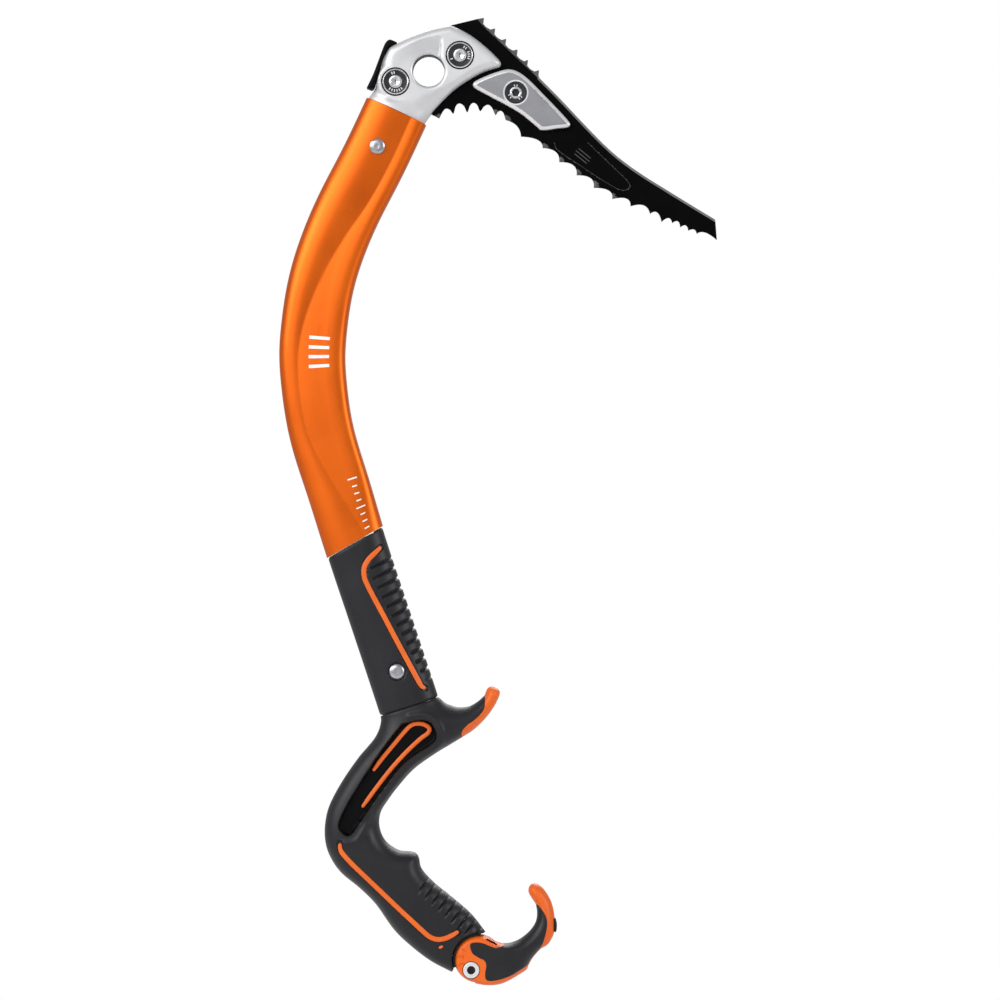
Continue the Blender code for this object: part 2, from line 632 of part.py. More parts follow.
def make_weight_nut(steel):
    spot = tuple(drawn([WEIGHT_SCREW])[0])
    top = PICK_THICKNESS / 2 + GAP + WEIGHT_THICKNESS
    seat = top - WEIGHT_SEAT_DEPTH + GAP
    start = seat - WEIGHT_NUT_COLLAR
    head = cap(WEIGHT_SCREW_RADIUS, SCREW_EDGE, seat, top)[::-1]
    profile = [(0.0, start), (BOLT_RADIUS, start), (BOLT_RADIUS, seat), *head, (0.0, top)]
    return turned("weight_nut", spot, profile, steel)


def make_rivet(name, centre, surface, steel):
    """Domed rivet through tube and spigot."""
    spot = tuple(drawn([centre])[0])
    seat = surface + GAP
    shares = [(0.0, 1.0), (0.38, 0.95), (0.71, 0.73), (0.93, 0.36), (1.0, 0.0)]
    dome = [(RIVET_HEAD_RADIUS * out, RIVET_HEAD_HEIGHT * up) for out, up in shares]
    near = [(radius, -seat - height) for radius, height in dome]
    far = [(radius, seat + height) for radius, height in dome[::-1]]
    return turned(name, spot, near + [(RIVET_RADIUS, -seat), (RIVET_RADIUS, seat)] + far, steel, 28)


# ---------------------------------------------------------------- shaft and upper grip
def make_shaft(mat):
    """Open-ended tube, stepped in under the grip."""
    step = LINE_LENGTH - GRIP_LENGTH - GAP
    neck_width = GRIP_HALF_WIDTH - SLEEVE_WALL - GAP
    neck_depth = GRIP_HALF_DEPTH - SLEEVE_WALL - GAP
    upper = np.concatenate([[GAP], np.linspace(0.012, step - 0.008, 22)])
    outer = [tube_ring(run, shaft_half_width(run), SHAFT_HALF_DEPTH) for run in upper]
    outer += [tube_ring(step, shaft_half_width(step), SHAFT_HALF_DEPTH, GRIP_SKEW),
              tube_ring(step, neck_width, neck_depth, GRIP_SKEW)]
    lower = np.linspace(step + 0.008, LINE_LENGTH - GAP, 7)
    outer += [tube_ring(run, neck_width, neck_depth) for run in lower]
    upper_in = np.concatenate([[GAP], np.linspace(0.012, step - 0.016, 21)])
    inner = [tube_ring(run, shaft_half_width(run) - SHAFT_WALL, SHAFT_HALF_DEPTH - SHAFT_WALL)
             for run in upper_in]
    inner += [tube_ring(run, neck_width - SHAFT_WALL, neck_depth - SHAFT_WALL)
              for run in np.concatenate([[step - 0.007], lower])]
    shaft = loft("shaft", outer + inner[::-1], mat, tube=True)
    for name, centre in (("upper", HEAD_RIVET), ("lower", HANDLE_RIVET)):
        cut(shaft, bored(name + "_bore_of_shaft", tuple(drawn([centre])[0]), RIVET_RADIUS + GAP, sides=24))
    return shaft


def make_upper_grip(mat):
    """Rubber sleeve with cross ribs down its front."""
    start = LINE_LENGTH - GRIP_LENGTH
    inner_width, inner_depth = GRIP_HALF_WIDTH - SLEEVE_WALL, GRIP_HALF_DEPTH - SLEEVE_WALL
    ribs = np.arange(start + RIB_MARGIN_TOP, LINE_LENGTH - RIB_MARGIN_LOW, RIB_PITCH / 2)
    outer = [tube_ring(start, GRIP_HALF_WIDTH, GRIP_HALF_DEPTH, GRIP_SKEW)]
    outer += [tube_ring(run, GRIP_HALF_WIDTH, GRIP_HALF_DEPTH, rib=RIB_HEIGHT * (k % 2))
              for k, run in enumerate(ribs)]
    outer += [tube_ring(LINE_LENGTH - GAP, GRIP_HALF_WIDTH, GRIP_HALF_DEPTH)]
    inner = [tube_ring(start, inner_width, inner_depth, GRIP_SKEW)]
    inner += [tube_ring(run, inner_width, inner_depth)
              for run in np.linspace(start + RIB_MARGIN_TOP, LINE_LENGTH - GAP, 6)]
    grip = loft("upper_grip", outer + inner[::-1], mat, tube=True)
    cut(grip, bored("rivet_window_of_grip", tuple(drawn([HANDLE_RIVET])[0]), RIVET_HEAD_RADIUS + GAP))
    for side, name in ((-1, "near"), (1, "far")):
        cut(grip, ribbon("grip_groove_" + name, grip_inlay_line(), side, INLAY_WIDTH + 2 * GAP,
                         lambda p: grip_depth(p) - INLAY_DEPTH - GAP, lambda p: grip_depth(p) + OPEN_TOP))
    return grip


def grip_inlay_line():
    """Line of the upper inlay, drawn for one grip and stretched to the grip's own width and length."""
    rows = np.array([(12.0, 82.9), (8.4, 81.1), (4.1, 78.9), (0.6, 75.7), (-0.9, 71.5), (-0.9, 67.4),
                     (0.1, 60.7), (2.1, 49.6), (4.8, 33.6), (7.1, 20.8), (8.8, 11.5), (9.6, 8.0),
                     (11.2, 6.5)])
    stretch = np.array([GRIP_HALF_WIDTH / DRAWN_GRIP[0], GRIP_LENGTH / DRAWN_GRIP[1]]) * 0.001 / SIZE
    return smooth_run(leaned(rows * stretch), 0.0032)


def ribbon(name, path, side, width, floor, top, mat=None):
    """Strip that follows a path on one face; width tapers to a third at both ends."""
    aim = np.gradient(path, axis=0)
    aim /= np.hypot(*aim.T)[:, None]
    across = np.column_stack([-aim[:, 1], aim[:, 0]])
    run = np.concatenate([[0.0], np.cumsum(np.hypot(*np.diff(path, axis=0).T))])
    from_end = np.minimum(run, run[-1] - run)
    half = width / 2 * np.interp(from_end, [0.0, 0.006], [0.35, 1.0])
    left, right = path + across * half[:, None], path - across * half[:, None]
    base_left, base_right = floor(left), floor(right)
    base = np.minimum(base_left, base_right)
    rings = []
    for k in range(len(path)):
        peak_left, peak_right = top(left[k:k + 1])[0], top(right[k:k + 1])[0]
        rings.append(np.array([(left[k, 0], side * base[k], left[k, 1]),
                               (left[k, 0], side * peak_left, left[k, 1]),
                               (right[k, 0], side * peak_right, right[k, 1]),
                               (right[k, 0], side * base[k], right[k, 1])]))
    return loft(name, rings, mat)


# ---------------------------------------------------------------- crook handle
REAR_ROWS = [(-15.7, -0.4), (-16.4, -2.9), (-18.8, -6.8), (-22.5, -10.4), (-27.2, -13.4), (-33.8, -17.5),
             (-44.8, -25.9), (-54.6, -35.2), (-59.9, -43.4), (-62.9, -52.4), (-63.1, -61.0), (-60.3, -70.7),
             (-53.5, -81.6), (-48.2, -92.1), (-43.7, -106.6), (-38.4, -117.0), (-30.7, -128.3),
             (-21.9, -137.5)]
FRONT_ROWS = [(1.2, -123.1), (-3.2, -111.5), (-10.7, -99.2), (-16.2, -90.6), (-20.0, -82.0), (-19.6, -74.9),
              (-22.4, -71.6), (-28.4, -69.0), (-33.2, -62.7), (-34.1, -55.1), (-31.4, -48.0),
              (-25.6, -42.8), (-17.1, -36.9), (-7.2, -31.4), (5.2, -27.5), (14.2, -25.4), (21.0, -23.8)]
SPLIT_ROWS = [(21.0, -23.8), (22.0, -20.6), (25.6, -18.3), (29.4, -17.1), (33.3, -15.4), (36.7, -12.7),
              (38.4, -8.6), (38.8, -6.8)]
TRIGGER_TOP_ROWS = [(38.8, -6.8), (34.7, -8.6), (29.4, -9.7), (23.9, -8.4), (20.5, -6.2), (18.2, -4.1),
                    (15.9, -0.4)]
TIP_ROWS = [(21.3, -23.8), (27.8, -22.0), (34.2, -19.0), (38.9, -16.0), (42.9, -12.7), (46.3, -8.8),
            (46.6, -6.2), (43.8, -3.6), (41.2, -3.8), (39.3, -6.4)]


def seat_arc():
    """Concave end of the handle round the pommel's disc."""
    hub = drawn([HINGE])[0]
    first, last = leaned([REAR_ROWS[-1]])[0] - hub, leaned([FRONT_ROWS[0]])[0] - hub
    start, stop = math.atan2(first[1], first[0]), math.atan2(last[1], last[0])
    if start < stop:
        start += 2 * math.pi
    mid = arc(hub, POMMEL_DISC_RADIUS + SEAT_GAP, start - 0.10, stop + 0.08, 15)
    return np.vstack([leaned([REAR_ROWS[-1]]), mid, leaned([FRONT_ROWS[0]])])


def handle_half(points):
    """Full depth along the grip, slimmer at the trigger, the knob and the pommel."""
    tip = np.hypot(*(points - leaned([(44.0, -8.0)])[0]).T) / SIZE
    hub = np.hypot(*(points - drawn([HINGE])[0]).T) / SIZE
    near_tip = np.interp(tip, [4.0, 34.0], [0.0080, HANDLE_HALF_DEPTH])
    near_hub = np.interp(hub, [12.0, 40.0], [POMMEL_HALF_DEPTH, HANDLE_HALF_DEPTH])
    return np.minimum(near_tip, near_hub)


def handle_radius(points):
    tip = np.hypot(*(points - leaned([(44.0, -8.0)])[0]).T) / SIZE
    return np.interp(tip, [4.0, 34.0], [0.0050, 0.0095])


def handle_runs():
    rear = smooth_run(leaned(REAR_ROWS), 0.0048)
    seat = seat_arc()
    front = smooth_run(leaned(FRONT_ROWS), 0.0040)
    split = smooth_run(leaned(SPLIT_ROWS), 0.0034)
    top = smooth_run(leaned(TRIGGER_TOP_ROWS), 0.0030)
    seam = even(leaned([(15.9, -0.4), (-15.7, -0.4)]), 0.0035)
    return rear, seat, front, split, top, seam


def handle_depth(points):
    rear, seat, front, split, top, seam = handle_runs()
    return pillow_depth(points, [rear, front, top], handle_half, handle_radius, HANDLE_EDGE)


CORE_REAR = [(-11.0, -8.0), (-22.0, -16.0), (-34.0, -24.5), (-46.0, -35.0), (-53.0, -45.0),
             (-56.5, -55.0), (-55.5, -63.0), (-51.5, -72.0), (-45.5, -84.0), (-40.0, -98.0),
             (-33.5, -110.0), (-26.5, -119.5)]
CORE_FRONT = [(-15.5, -112.5), (-22.0, -102.0), (-27.5, -91.0), (-31.5, -80.0), (-35.0, -72.0),
              (-40.0, -63.0), (-41.0, -55.0), (-37.0, -47.0), (-27.0, -41.0), (-14.0, -34.0),
              (0.0, -28.6), (14.0, -22.5), (22.0, -18.9), (28.0, -18.0), (34.0, -16.0), (38.5, -13.5)]
CORE_TOP = [(38.5, -13.5), (37.0, -11.0), (30.0, -13.2), (23.0, -12.6), (17.0, -10.0), (11.0, -6.0)]
CORE_REACH = 2.0           # how far the web reaches up into its spigot
CORE_SHARE = 0.80          # the web's half width there, as a share of the spigot's


def core_spigot():
    """Half width and half depth of the core's plug in the tube."""
    inset = SLEEVE_WALL + GAP + SHAFT_WALL + SPIGOT_GAP
    return GRIP_HALF_WIDTH - inset, GRIP_HALF_DEPTH - inset


def core_outline():
    half = CORE_SHARE * core_spigot()[0] / SIZE
    rear = smooth_run(leaned([(-half, CORE_REACH), *CORE_REAR]), 0.0050)
    low = leaned([CORE_REAR[-1], CORE_FRONT[0]])
    front = smooth_run(leaned(CORE_FRONT), 0.0050)
    top = smooth_run(leaned([*CORE_TOP, (half, CORE_REACH)]), 0.0040)
    return ring(rear, low, front, top, leaned([(half, CORE_REACH), (-half, CORE_REACH)]))


def tongue_outline(margin=0.0):
    """Round tongue about the pommel's hinge with a straight neck up into the core."""
    hub = drawn([HINGE])[0]
    angle = NECK_ANGLE + LEAN
    aim = np.array([math.cos(angle), math.sin(angle)])
    half = NECK_HALF_WIDTH + margin
    open_angle = math.asin(half / (TONGUE_RADIUS + margin))
    disc = arc(hub, TONGUE_RADIUS + margin, angle + open_angle, angle - open_angle + 2 * math.pi, 44)
    side = np.array([-aim[1], aim[0]]) * half
    end = hub + aim * NECK_REACH * SIZE
    return np.vstack([disc, [end - side, end + side]])


def make_handle_core(mat):
    """Orange nylon heart of the handle: tube spigot, web, trigger tip and pommel tongue."""
    core = slab("handle_core", core_outline(), -CORE_HALF_DEPTH, CORE_HALF_DEPTH, mat)
    runs = np.linspace(LINE_LENGTH - TUBE_SPIGOT_LENGTH, LINE_LENGTH, 7)
    rings = [tube_ring(run, *core_spigot()) for run in runs]
    add(core, loft("spigot_of_core", rings))
    split = smooth_run(leaned(SPLIT_ROWS), 0.0030)
    edge = smooth_run(leaned(TIP_ROWS), 0.0028)
    shifted = split + np.array([math.cos(LEAN - 0.8), math.sin(LEAN - 0.8)]) * GAP
    shifted[0], shifted[-1] = edge[0], edge[-1]
    walk = [(edge, True), (shifted[::-1], False)]
    add(core, pillow("tip_of_core", walk, handle_half, handle_radius, HANDLE_EDGE, 0.0028))
    add(core, slab("tongue_of_core", tongue_outline(), -TONGUE_HALF_DEPTH, TONGUE_HALF_DEPTH))
    cut(core, clamp_track(),
        bored("rivet_bore_of_core", tuple(drawn([HANDLE_RIVET])[0]), RIVET_RADIUS + GAP, sides=24))
    return core


def clamp_track():
    """Curved slot that lets the clamp screw travel with the pommel."""
    hub = drawn([HINGE])[0]
    reach = drawn([CLAMP_SCREW])[0] - hub
    radius, angle = float(np.hypot(*reach)), math.atan2(reach[1], reach[0])
    half = CLAMP_SCREW_RADIUS + GAP
    swing = POMMEL_SWING + math.radians(1.0)
    outer = arc(hub, radius + half, angle - swing, angle + swing, 9)
    inner = arc(hub, radius - half, angle + swing, angle - swing, 9)
    far_end = hub + radius * np.array([math.cos(angle + swing), math.sin(angle + swing)])
    near_end = hub + radius * np.array([math.cos(angle - swing), math.sin(angle - swing)])
    cap_one = arc(far_end, half, angle + swing, angle + swing + math.pi, 9)[1:-1]
    cap_two = arc(near_end, half, angle - swing + math.pi, angle - swing + 2 * math.pi, 9)[1:-1]
    outline = np.vstack([outer, cap_one, inner, cap_two])
    return slab("clamp_track", outline, -FAR_OUT, FAR_OUT)


def make_handle_skin(mat):
    """Black overmould round the core, with side pockets and inlay grooves."""
    rear, seat, front, split, top, seam = handle_runs()
    walk = [(rear, True), (seat, False), (front, True), (split, False), (top, True), (seam, False)]
    skin = pillow("handle_skin", walk, handle_half, handle_radius, HANDLE_EDGE, 0.0044, mat)
    cavity = grown(core_outline(), GAP)
    cut(skin, slab("core_cavity", cavity, -CORE_HALF_DEPTH - GAP, CORE_HALF_DEPTH + GAP),
        slab("neck_cavity", tongue_outline(GAP), -TONGUE_HALF_DEPTH - GAP, TONGUE_HALF_DEPTH + GAP))
    pocket = ring(smooth_run(leaned([(-6.2, -6.7), (3.5, -7.6), (8.8, -11.5), (9.9, -16.9), (6.4, -22.4),
                                     (-10.9, -27.5), (-27.5, -38.4), (-43.9, -50.4), (-49.2, -53.1),
                                     (-53.9, -50.5), (-53.8, -45.4), (-46.8, -38.3), (-36.5, -29.1),
                                     (-23.7, -18.7), (-13.5, -11.4), (-6.2, -6.7)]), 0.0040))
    for side, name in ((-1, "near"), (1, "far")):
        ends = (-FAR_OUT, -POCKET_FLOOR) if side < 0 else (POCKET_FLOOR, FAR_OUT)
        cut(skin, slab("pocket_" + name, pocket, *ends),
            ribbon("lower_groove_" + name, lower_inlay_line(), side, INLAY_WIDTH + 2 * GAP,
                   lambda p: handle_depth(p) - INLAY_DEPTH - GAP, lambda p: handle_depth(p) + OPEN_TOP),
            slab("index_recess_" + name, grown(index_outline(), GAP),
                 *sorted((side * (POMMEL_HALF_DEPTH - INDEX_FLOOR), side * FAR_OUT))))
    return skin


def lower_inlay_line():
    return smooth_run(leaned([(-55.6, -55.6), (-56.2, -60.0), (-53.3, -67.0), (-49.5, -74.3),
                              (-44.6, -83.4), (-38.1, -95.5), (-33.2, -104.4), (-29.0, -112.0),
                              (-26.6, -115.9), (-23.4, -118.4), (-19.5, -119.2), (-14.9, -118.5)]), 0.0038)


def pocket_inlay_line():
    return smooth_run(leaned([(-27.9, -25.7), (-22.0, -21.4), (-12.2, -15.2), (-5.6, -11.1), (-1.9, -9.4),
                              (1.2, -9.5), (4.6, -11.1), (6.6, -13.9), (5.0, -16.0), (0.2, -17.6),
                              (-9.1, -22.0), (-18.8, -27.6), (-28.8, -34.3), (-39.1, -41.8)]), 0.0034)


def index_outline():
    return anticlockwise(leaned([(-20.9, -123.4), (-22.6, -120.8), (-24.6, -123.6)]))


def make_inlays(mat):
    made = []
    for side, name in ((-1, "near"), (1, "far")):
        made.append(ribbon("upper_inlay_" + name, grip_inlay_line(), side, INLAY_WIDTH,
                           lambda p: grip_depth(p) - INLAY_DEPTH, lambda p: grip_depth(p), mat))
        made.append(ribbon("lower_inlay_" + name, lower_inlay_line(), side, INLAY_WIDTH,
                           lambda p: handle_depth(p) - INLAY_DEPTH, lambda p: handle_depth(p), mat))
        floor, top = POCKET_FLOOR + GAP, POCKET_FLOOR + POCKET_INLAY_HEIGHT
        low = POMMEL_HALF_DEPTH - INDEX_FLOOR + GAP
        made.append(ribbon("pocket_inlay_" + name, pocket_inlay_line(), side, INLAY_WIDTH * 0.85,
                           constant(floor), constant(top), mat))
        made.append(slab("index_mark_" + name, index_outline(),
                         *sorted((side * low, side * (low + INLAY_DEPTH))), mat))
    return made


# ---------------------------------------------------------------- adjustable pommel
FINGER_ROWS = [(12.0, 4.9), (15.0, 3.0), (18.9, 2.2), (24.0, 2.7), (29.5, 4.8), (33.3, 7.5), (35.4, 10.2),
               (36.7, 13.6), (37.2, 16.9)]
HOOK_ROWS = [(37.2, 16.9), (35.7, 22.3), (35.7, 25.2), (37.3, 27.1), (40.2, 27.3), (42.2, 25.7),
             (43.9, 22.0), (45.0, 17.0), (45.0, 12.9), (44.4, 8.7), (43.4, 5.1), (41.8, 0.8), (39.3, -2.3),
             (36.1, -4.6), (32.0, -5.6), (27.1, -8.5), (24.0, -11.2), (22.2, -13.2), (18.4, -14.4),
             (13.1, -15.6), (8.0, -16.2), (3.4, -15.6), (-1.0, -14.1), (-5.2, -11.9)]
PAD_ROWS = [(-1.0, 9.7), (-2.1, 7.9), (-1.9, 3.9), (0.5, 0.7), (2.7, -1.5), (2.8, -4.0), (1.2, -7.3),
            (0.4, -10.4), (1.7, -12.3), (6.4, -13.4), (13.7, -13.4), (19.1, -12.0), (23.0, -10.3),
            (27.1, -7.4), (31.5, -4.2), (35.8, -1.1), (38.2, 2.5), (40.0, 6.3), (40.5, 10.0),
            (39.7, 13.7), (38.3, 17.0)]
PAD_TOP_ROWS = [(14.7, 2.1), (11.4, 3.0), (8.2, 5.2), (5.2, 7.7), (1.8, 9.3), (-1.0, 9.7)]
INSERT_ROWS = [(45.2, 8.0), (44.9, 5.4), (43.9, 2.3), (42.5, -0.6), (40.4, -2.5), (39.2, -0.6), (41.2, 2.6),
               (42.5, 6.0), (43.0, 8.6)]


def pommel_runs():
    hub = drawn([HINGE])[0]
    finger = smooth_run(from_hinge(FINGER_ROWS), 0.0028)
    hook = smooth_run(from_hinge(HOOK_ROWS), 0.0030)
    start, stop = hook[-1] - hub, finger[0] - hub
    first, last = math.atan2(start[1], start[0]), math.atan2(stop[1], stop[0])
    if first < last:
        first += 2 * math.pi
    disc = arc(hub, POMMEL_DISC_RADIUS, first - 0.06, last + 0.10, 18)
    disc = np.vstack([hook[-1:], disc, finger[:1]])
    return finger, hook, disc


def pommel_half(points):
    reach = np.hypot(*(points - drawn([HINGE])[0]).T) / SIZE
    return np.interp(reach, [14.0, 46.0], [POMMEL_HALF_DEPTH, 0.0074])


def pommel_radius(points):
    reach = np.hypot(*(points - drawn([HINGE])[0]).T) / SIZE
    return np.interp(reach, [12.0, 22.0], [0.0025, 0.0050])


def pommel_body(name, mat=None):
    finger, hook, disc = pommel_runs()
    walk = [(finger, True), (hook, True), (disc, True)]
    return pillow(name, walk, pommel_half, pommel_radius, POMMEL_EDGE, 0.0036, mat,
                  tuple(drawn([HINGE])[0]))


def pad_outline():
    side = smooth_run(from_hinge(PAD_ROWS), 0.0034)
    top = smooth_run(from_hinge(PAD_TOP_ROWS), 0.0034)
    corner = from_hinge([PAD_ROWS[-1], (37.6, 18.2), (33.5, 18.2), (31.5, 11.5), (27.0, 7.6), (18.0, 5.6),
                         (14.8, 5.2), PAD_TOP_ROWS[0]])
    return ring(side, corner, top)


def wrap_inner():
    """Inner limit of the strip along the finger side that is all pad."""
    return smooth_run(from_hinge([(12.6, 2.6), (13.4, 0.6), (15.6, -0.1), (19.0, -0.8), (24.2, -0.2),
                                  (30.4, 2.1), (35.1, 5.4), (38.0, 9.0), (39.0, 12.6), (38.6, 16.6),
                                  (38.0, 17.6)]), 0.0030)


def make_pommel_core(mat):
    """Orange hook: forked hub over the tongue, clamp screw seats and recesses for the pad."""
    core = pommel_body("pommel_core", mat)
    hub = drawn([HINGE])[0]
    slot = TONGUE_HALF_DEPTH + GAP
    disc = slab("disc_pocket", circle(hub, TONGUE_RADIUS + GAP, 48), -slot, slot)
    mid = NECK_ANGLE + LEAN
    spread_angle = math.asin(NECK_HALF_WIDTH / TONGUE_RADIUS) + POMMEL_SWING + math.radians(3.0)
    mouth = np.vstack([[hub], arc(hub, 0.020, mid - spread_angle, mid + spread_angle, 9)])
    cut(core, disc, slab("neck_mouth", mouth, -slot, slot))
    pads = grown(pad_outline(), GAP)
    for side, name in ((-1, "near"), (1, "far")):
        cut(core, slab("pad_recess_" + name, pads, *sorted((side * (PAD_FLOOR - GAP), side * FAR_OUT))))
    inner = wrap_inner()
    outer = from_hinge([(38.0, 17.6), (38.0, 18.6), (32.8, 18.8), (30.0, 14.0), (26.0, 8.0), (18.0, 6.2),
                        (14.0, 5.6), (12.2, 3.2), (12.6, 2.6)])
    cut(core, slab("finger_strip", grown(ring(inner, outer), GAP), -FAR_OUT, FAR_OUT))
    spot = tuple(drawn([CLAMP_SCREW])[0])
    seat = POMMEL_HALF_DEPTH - CLAMP_SEAT_DEPTH
    cut(core, bored("clamp_bore", spot, CLAMP_SCREW_RADIUS + GAP, sides=20),
        bored("clamp_near_seat", spot, CLAMP_HEAD_RADIUS + GAP, -FAR_OUT, -seat),
        bored("clamp_far_seat", spot, CLAMP_HEAD_RADIUS + GAP, seat, FAR_OUT),
        slab("insert_notch", grown(insert_outline(), GAP), -INSERT_HALF_DEPTH - GAP,
             INSERT_HALF_DEPTH + GAP))
    return core


def insert_outline():
    return anticlockwise(from_hinge(INSERT_ROWS))


def make_pommel_pad(mat):
    """Black pad that wraps the finger side and lies flush in both faces of the hook."""
    pad = pommel_body("pommel_pad", mat)
    combine(pad, slab("pad_region", pad_outline(), -FAR_OUT, FAR_OUT), "INTERSECT")
    inner = wrap_inner()
    rest = from_hinge([(38.0, 17.6), (42.0, 22.0), (60.0, 22.0), (60.0, -30.0), (-14.0, -30.0),
                       (-14.0, 20.0), (8.0, 14.0), (12.6, 2.6)])
    cut(pad, slab("web_of_pommel", ring(inner, rest), -PAD_FLOOR, PAD_FLOOR))
    return pad


def make_clamp(steel):
    """Clamp screw from the near cheek and its round nut in the far cheek."""
    spot, hub = tuple(drawn([CLAMP_SCREW])[0]), tuple(drawn([HINGE])[0])
    seat = POMMEL_HALF_DEPTH - CLAMP_SEAT_DEPTH + GAP
    top = POMMEL_HALF_DEPTH + CLAMP_PROUD
    start = seat - CLAMP_NUT_COLLAR
    head = cap(CLAMP_HEAD_RADIUS, SCREW_EDGE, seat, top)
    end = start - BOLT_END_GAP
    profile = [(0.0, -top), *[(radius, -y) for radius, y in head], (CLAMP_SCREW_RADIUS, -seat),
               (CLAMP_SCREW_RADIUS, end), (0.0, end)]
    screw = turned("pommel_screw", spot, profile, steel, 28, hub)
    cut(screw, slab("pommel_screw_socket", hexagon(spot, CLAMP_SOCKET_RADIUS), -FAR_OUT,
                    -top + 0.6 * CLAMP_SEAT_DEPTH))
    nut_profile = [(0.0, start), (CLAMP_SCREW_RADIUS, start), (CLAMP_SCREW_RADIUS, seat), *head[::-1],
                   (0.0, top)]
    return screw, turned("pommel_nut", spot, nut_profile, steel, 28, hub)


def make_insert(mat):
    return slab("pommel_insert", insert_outline(), -INSERT_HALF_DEPTH, INSERT_HALF_DEPTH, mat,
                tuple(drawn([HINGE])[0]))


# ---------------------------------------------------------------- build
def build():
    clear_scene()
    silver = material("forged_aluminium", (0.78, 0.78, 0.80), 0.34, 1.0)
    black_steel = material("black_steel", (0.012, 0.012, 0.014), 0.45, 0.6)
    black_plastic = material("black_plastic", (0.02, 0.02, 0.022), 0.55, 0.0)
    weight_grey = material("plated_weight", (0.36, 0.36, 0.38), 0.35, 1.0)
    bolt_steel = material("bolt_steel", (0.62, 0.62, 0.64), 0.3, 1.0)
    orange_tube = material("orange_anodised", (0.83, 0.20, 0.02), 0.3, 0.9)
    rubber = material("black_rubber", (0.018, 0.018, 0.020), 0.75, 0.0)
    nylon = material("orange_nylon", (0.80, 0.13, 0.02), 0.5, 0.0)
    make_head(silver)
    make_pick(black_steel)
    make_rear_spacer(black_plastic)
    make_head_bolt("front_bolt", FRONT_BOLT, bolt_steel)
    make_head_nut("front_nut", FRONT_BOLT, bolt_steel)
    make_head_bolt("rear_bolt", REAR_BOLT, bolt_steel)
    make_head_nut("rear_nut", REAR_BOLT, bolt_steel)
    make_weight("weight_near", -1, weight_grey)
    make_weight("weight_far", 1, weight_grey)
    make_weight_screw(black_steel)
    make_weight_nut(black_steel)
    make_shaft(orange_tube)
    make_rivet("head_rivet", HEAD_RIVET, SHAFT_HALF_DEPTH, bolt_steel)
    make_upper_grip(rubber)
    make_rivet("handle_rivet", HANDLE_RIVET, GRIP_HALF_DEPTH - SLEEVE_WALL - GAP, bolt_steel)
    make_handle_core(nylon)
    make_handle_skin(rubber)
    make_inlays(nylon)
    hinge = bpy.data.objects.new("pommel_hinge", None)
    spot = drawn([HINGE])[0]
    hinge.location = (spot[0], 0.0, spot[1])
    bpy.context.scene.collection.objects.link(hinge)
    moving = [make_pommel_core(nylon), make_pommel_pad(rubber), *make_clamp(bolt_steel),
              make_insert(black_plastic)]
    for piece in moving:
        piece.location = (0.0, 0.0, 0.0)
        piece.parent = hinge


build()
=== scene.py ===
# %% [markdown]
# # A hooked ice axe, piece by piece
# The axe is built round a frame that is already exact: head, bent tube, crook handle and a pommel
# that turns a few degrees.  This script gives each of those pieces its real surface and finish.
# Lengths are metres.  Outlines are typed in millimetres and scaled, because a hand tool is easier
# to think about that way.
# %% Open the frame
import math

import bmesh
import bpy
import numpy as np
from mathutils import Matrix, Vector
from mathutils.geometry import delaunay_2d_cdt


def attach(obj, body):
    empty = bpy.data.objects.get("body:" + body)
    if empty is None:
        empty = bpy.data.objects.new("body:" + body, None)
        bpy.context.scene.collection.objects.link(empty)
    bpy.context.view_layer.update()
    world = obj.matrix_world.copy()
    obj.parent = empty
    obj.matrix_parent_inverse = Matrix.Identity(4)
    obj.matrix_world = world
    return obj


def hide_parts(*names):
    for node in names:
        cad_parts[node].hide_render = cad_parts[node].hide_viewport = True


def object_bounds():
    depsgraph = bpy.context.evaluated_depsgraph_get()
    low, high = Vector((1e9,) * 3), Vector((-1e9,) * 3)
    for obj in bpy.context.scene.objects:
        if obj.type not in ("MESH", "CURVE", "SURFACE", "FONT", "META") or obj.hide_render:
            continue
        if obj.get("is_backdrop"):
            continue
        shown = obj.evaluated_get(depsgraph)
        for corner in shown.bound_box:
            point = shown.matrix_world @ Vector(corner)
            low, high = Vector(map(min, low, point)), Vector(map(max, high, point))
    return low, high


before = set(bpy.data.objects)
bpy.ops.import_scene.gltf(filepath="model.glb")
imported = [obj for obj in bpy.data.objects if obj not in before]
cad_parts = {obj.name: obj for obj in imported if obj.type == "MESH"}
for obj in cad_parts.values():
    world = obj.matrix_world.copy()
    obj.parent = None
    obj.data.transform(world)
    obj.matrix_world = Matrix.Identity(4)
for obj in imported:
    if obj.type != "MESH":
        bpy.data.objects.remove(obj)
cad_low, cad_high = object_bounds()
MM = 0.001

# %% [markdown]
# ## Three rulers
# The head is drawn upright from its round eye.  The handle is drawn square to the lower end of the
# tube, which leans, and the pommel is drawn the same way from its hinge.  Turning a list of points
# once is simpler than drawing everything aslant.
# %% Turn millimetre lists into x, z in metres
LEAN = math.radians(18.1)
HANDLE_TOP = np.array([-10.09, -328.16])
HINGE = np.array([25.5, -458.6])


def upright(rows):
    """Millimetres from the eye, x to the pick and z up."""
    return np.array(rows, float) * MM


def aslant(rows, start):
    """The point (side, up) goes to start + side * lean direction + up * its normal."""
    side, up = np.array(rows, float).T
    x = start[0] + side * math.cos(LEAN) - up * math.sin(LEAN)
    z = start[1] + side * math.sin(LEAN) + up * math.cos(LEAN)
    return np.column_stack([x, z]) * MM


def leaned(rows):
    return aslant(rows, HANDLE_TOP)


def hinged(rows):
    return aslant(rows, HINGE)


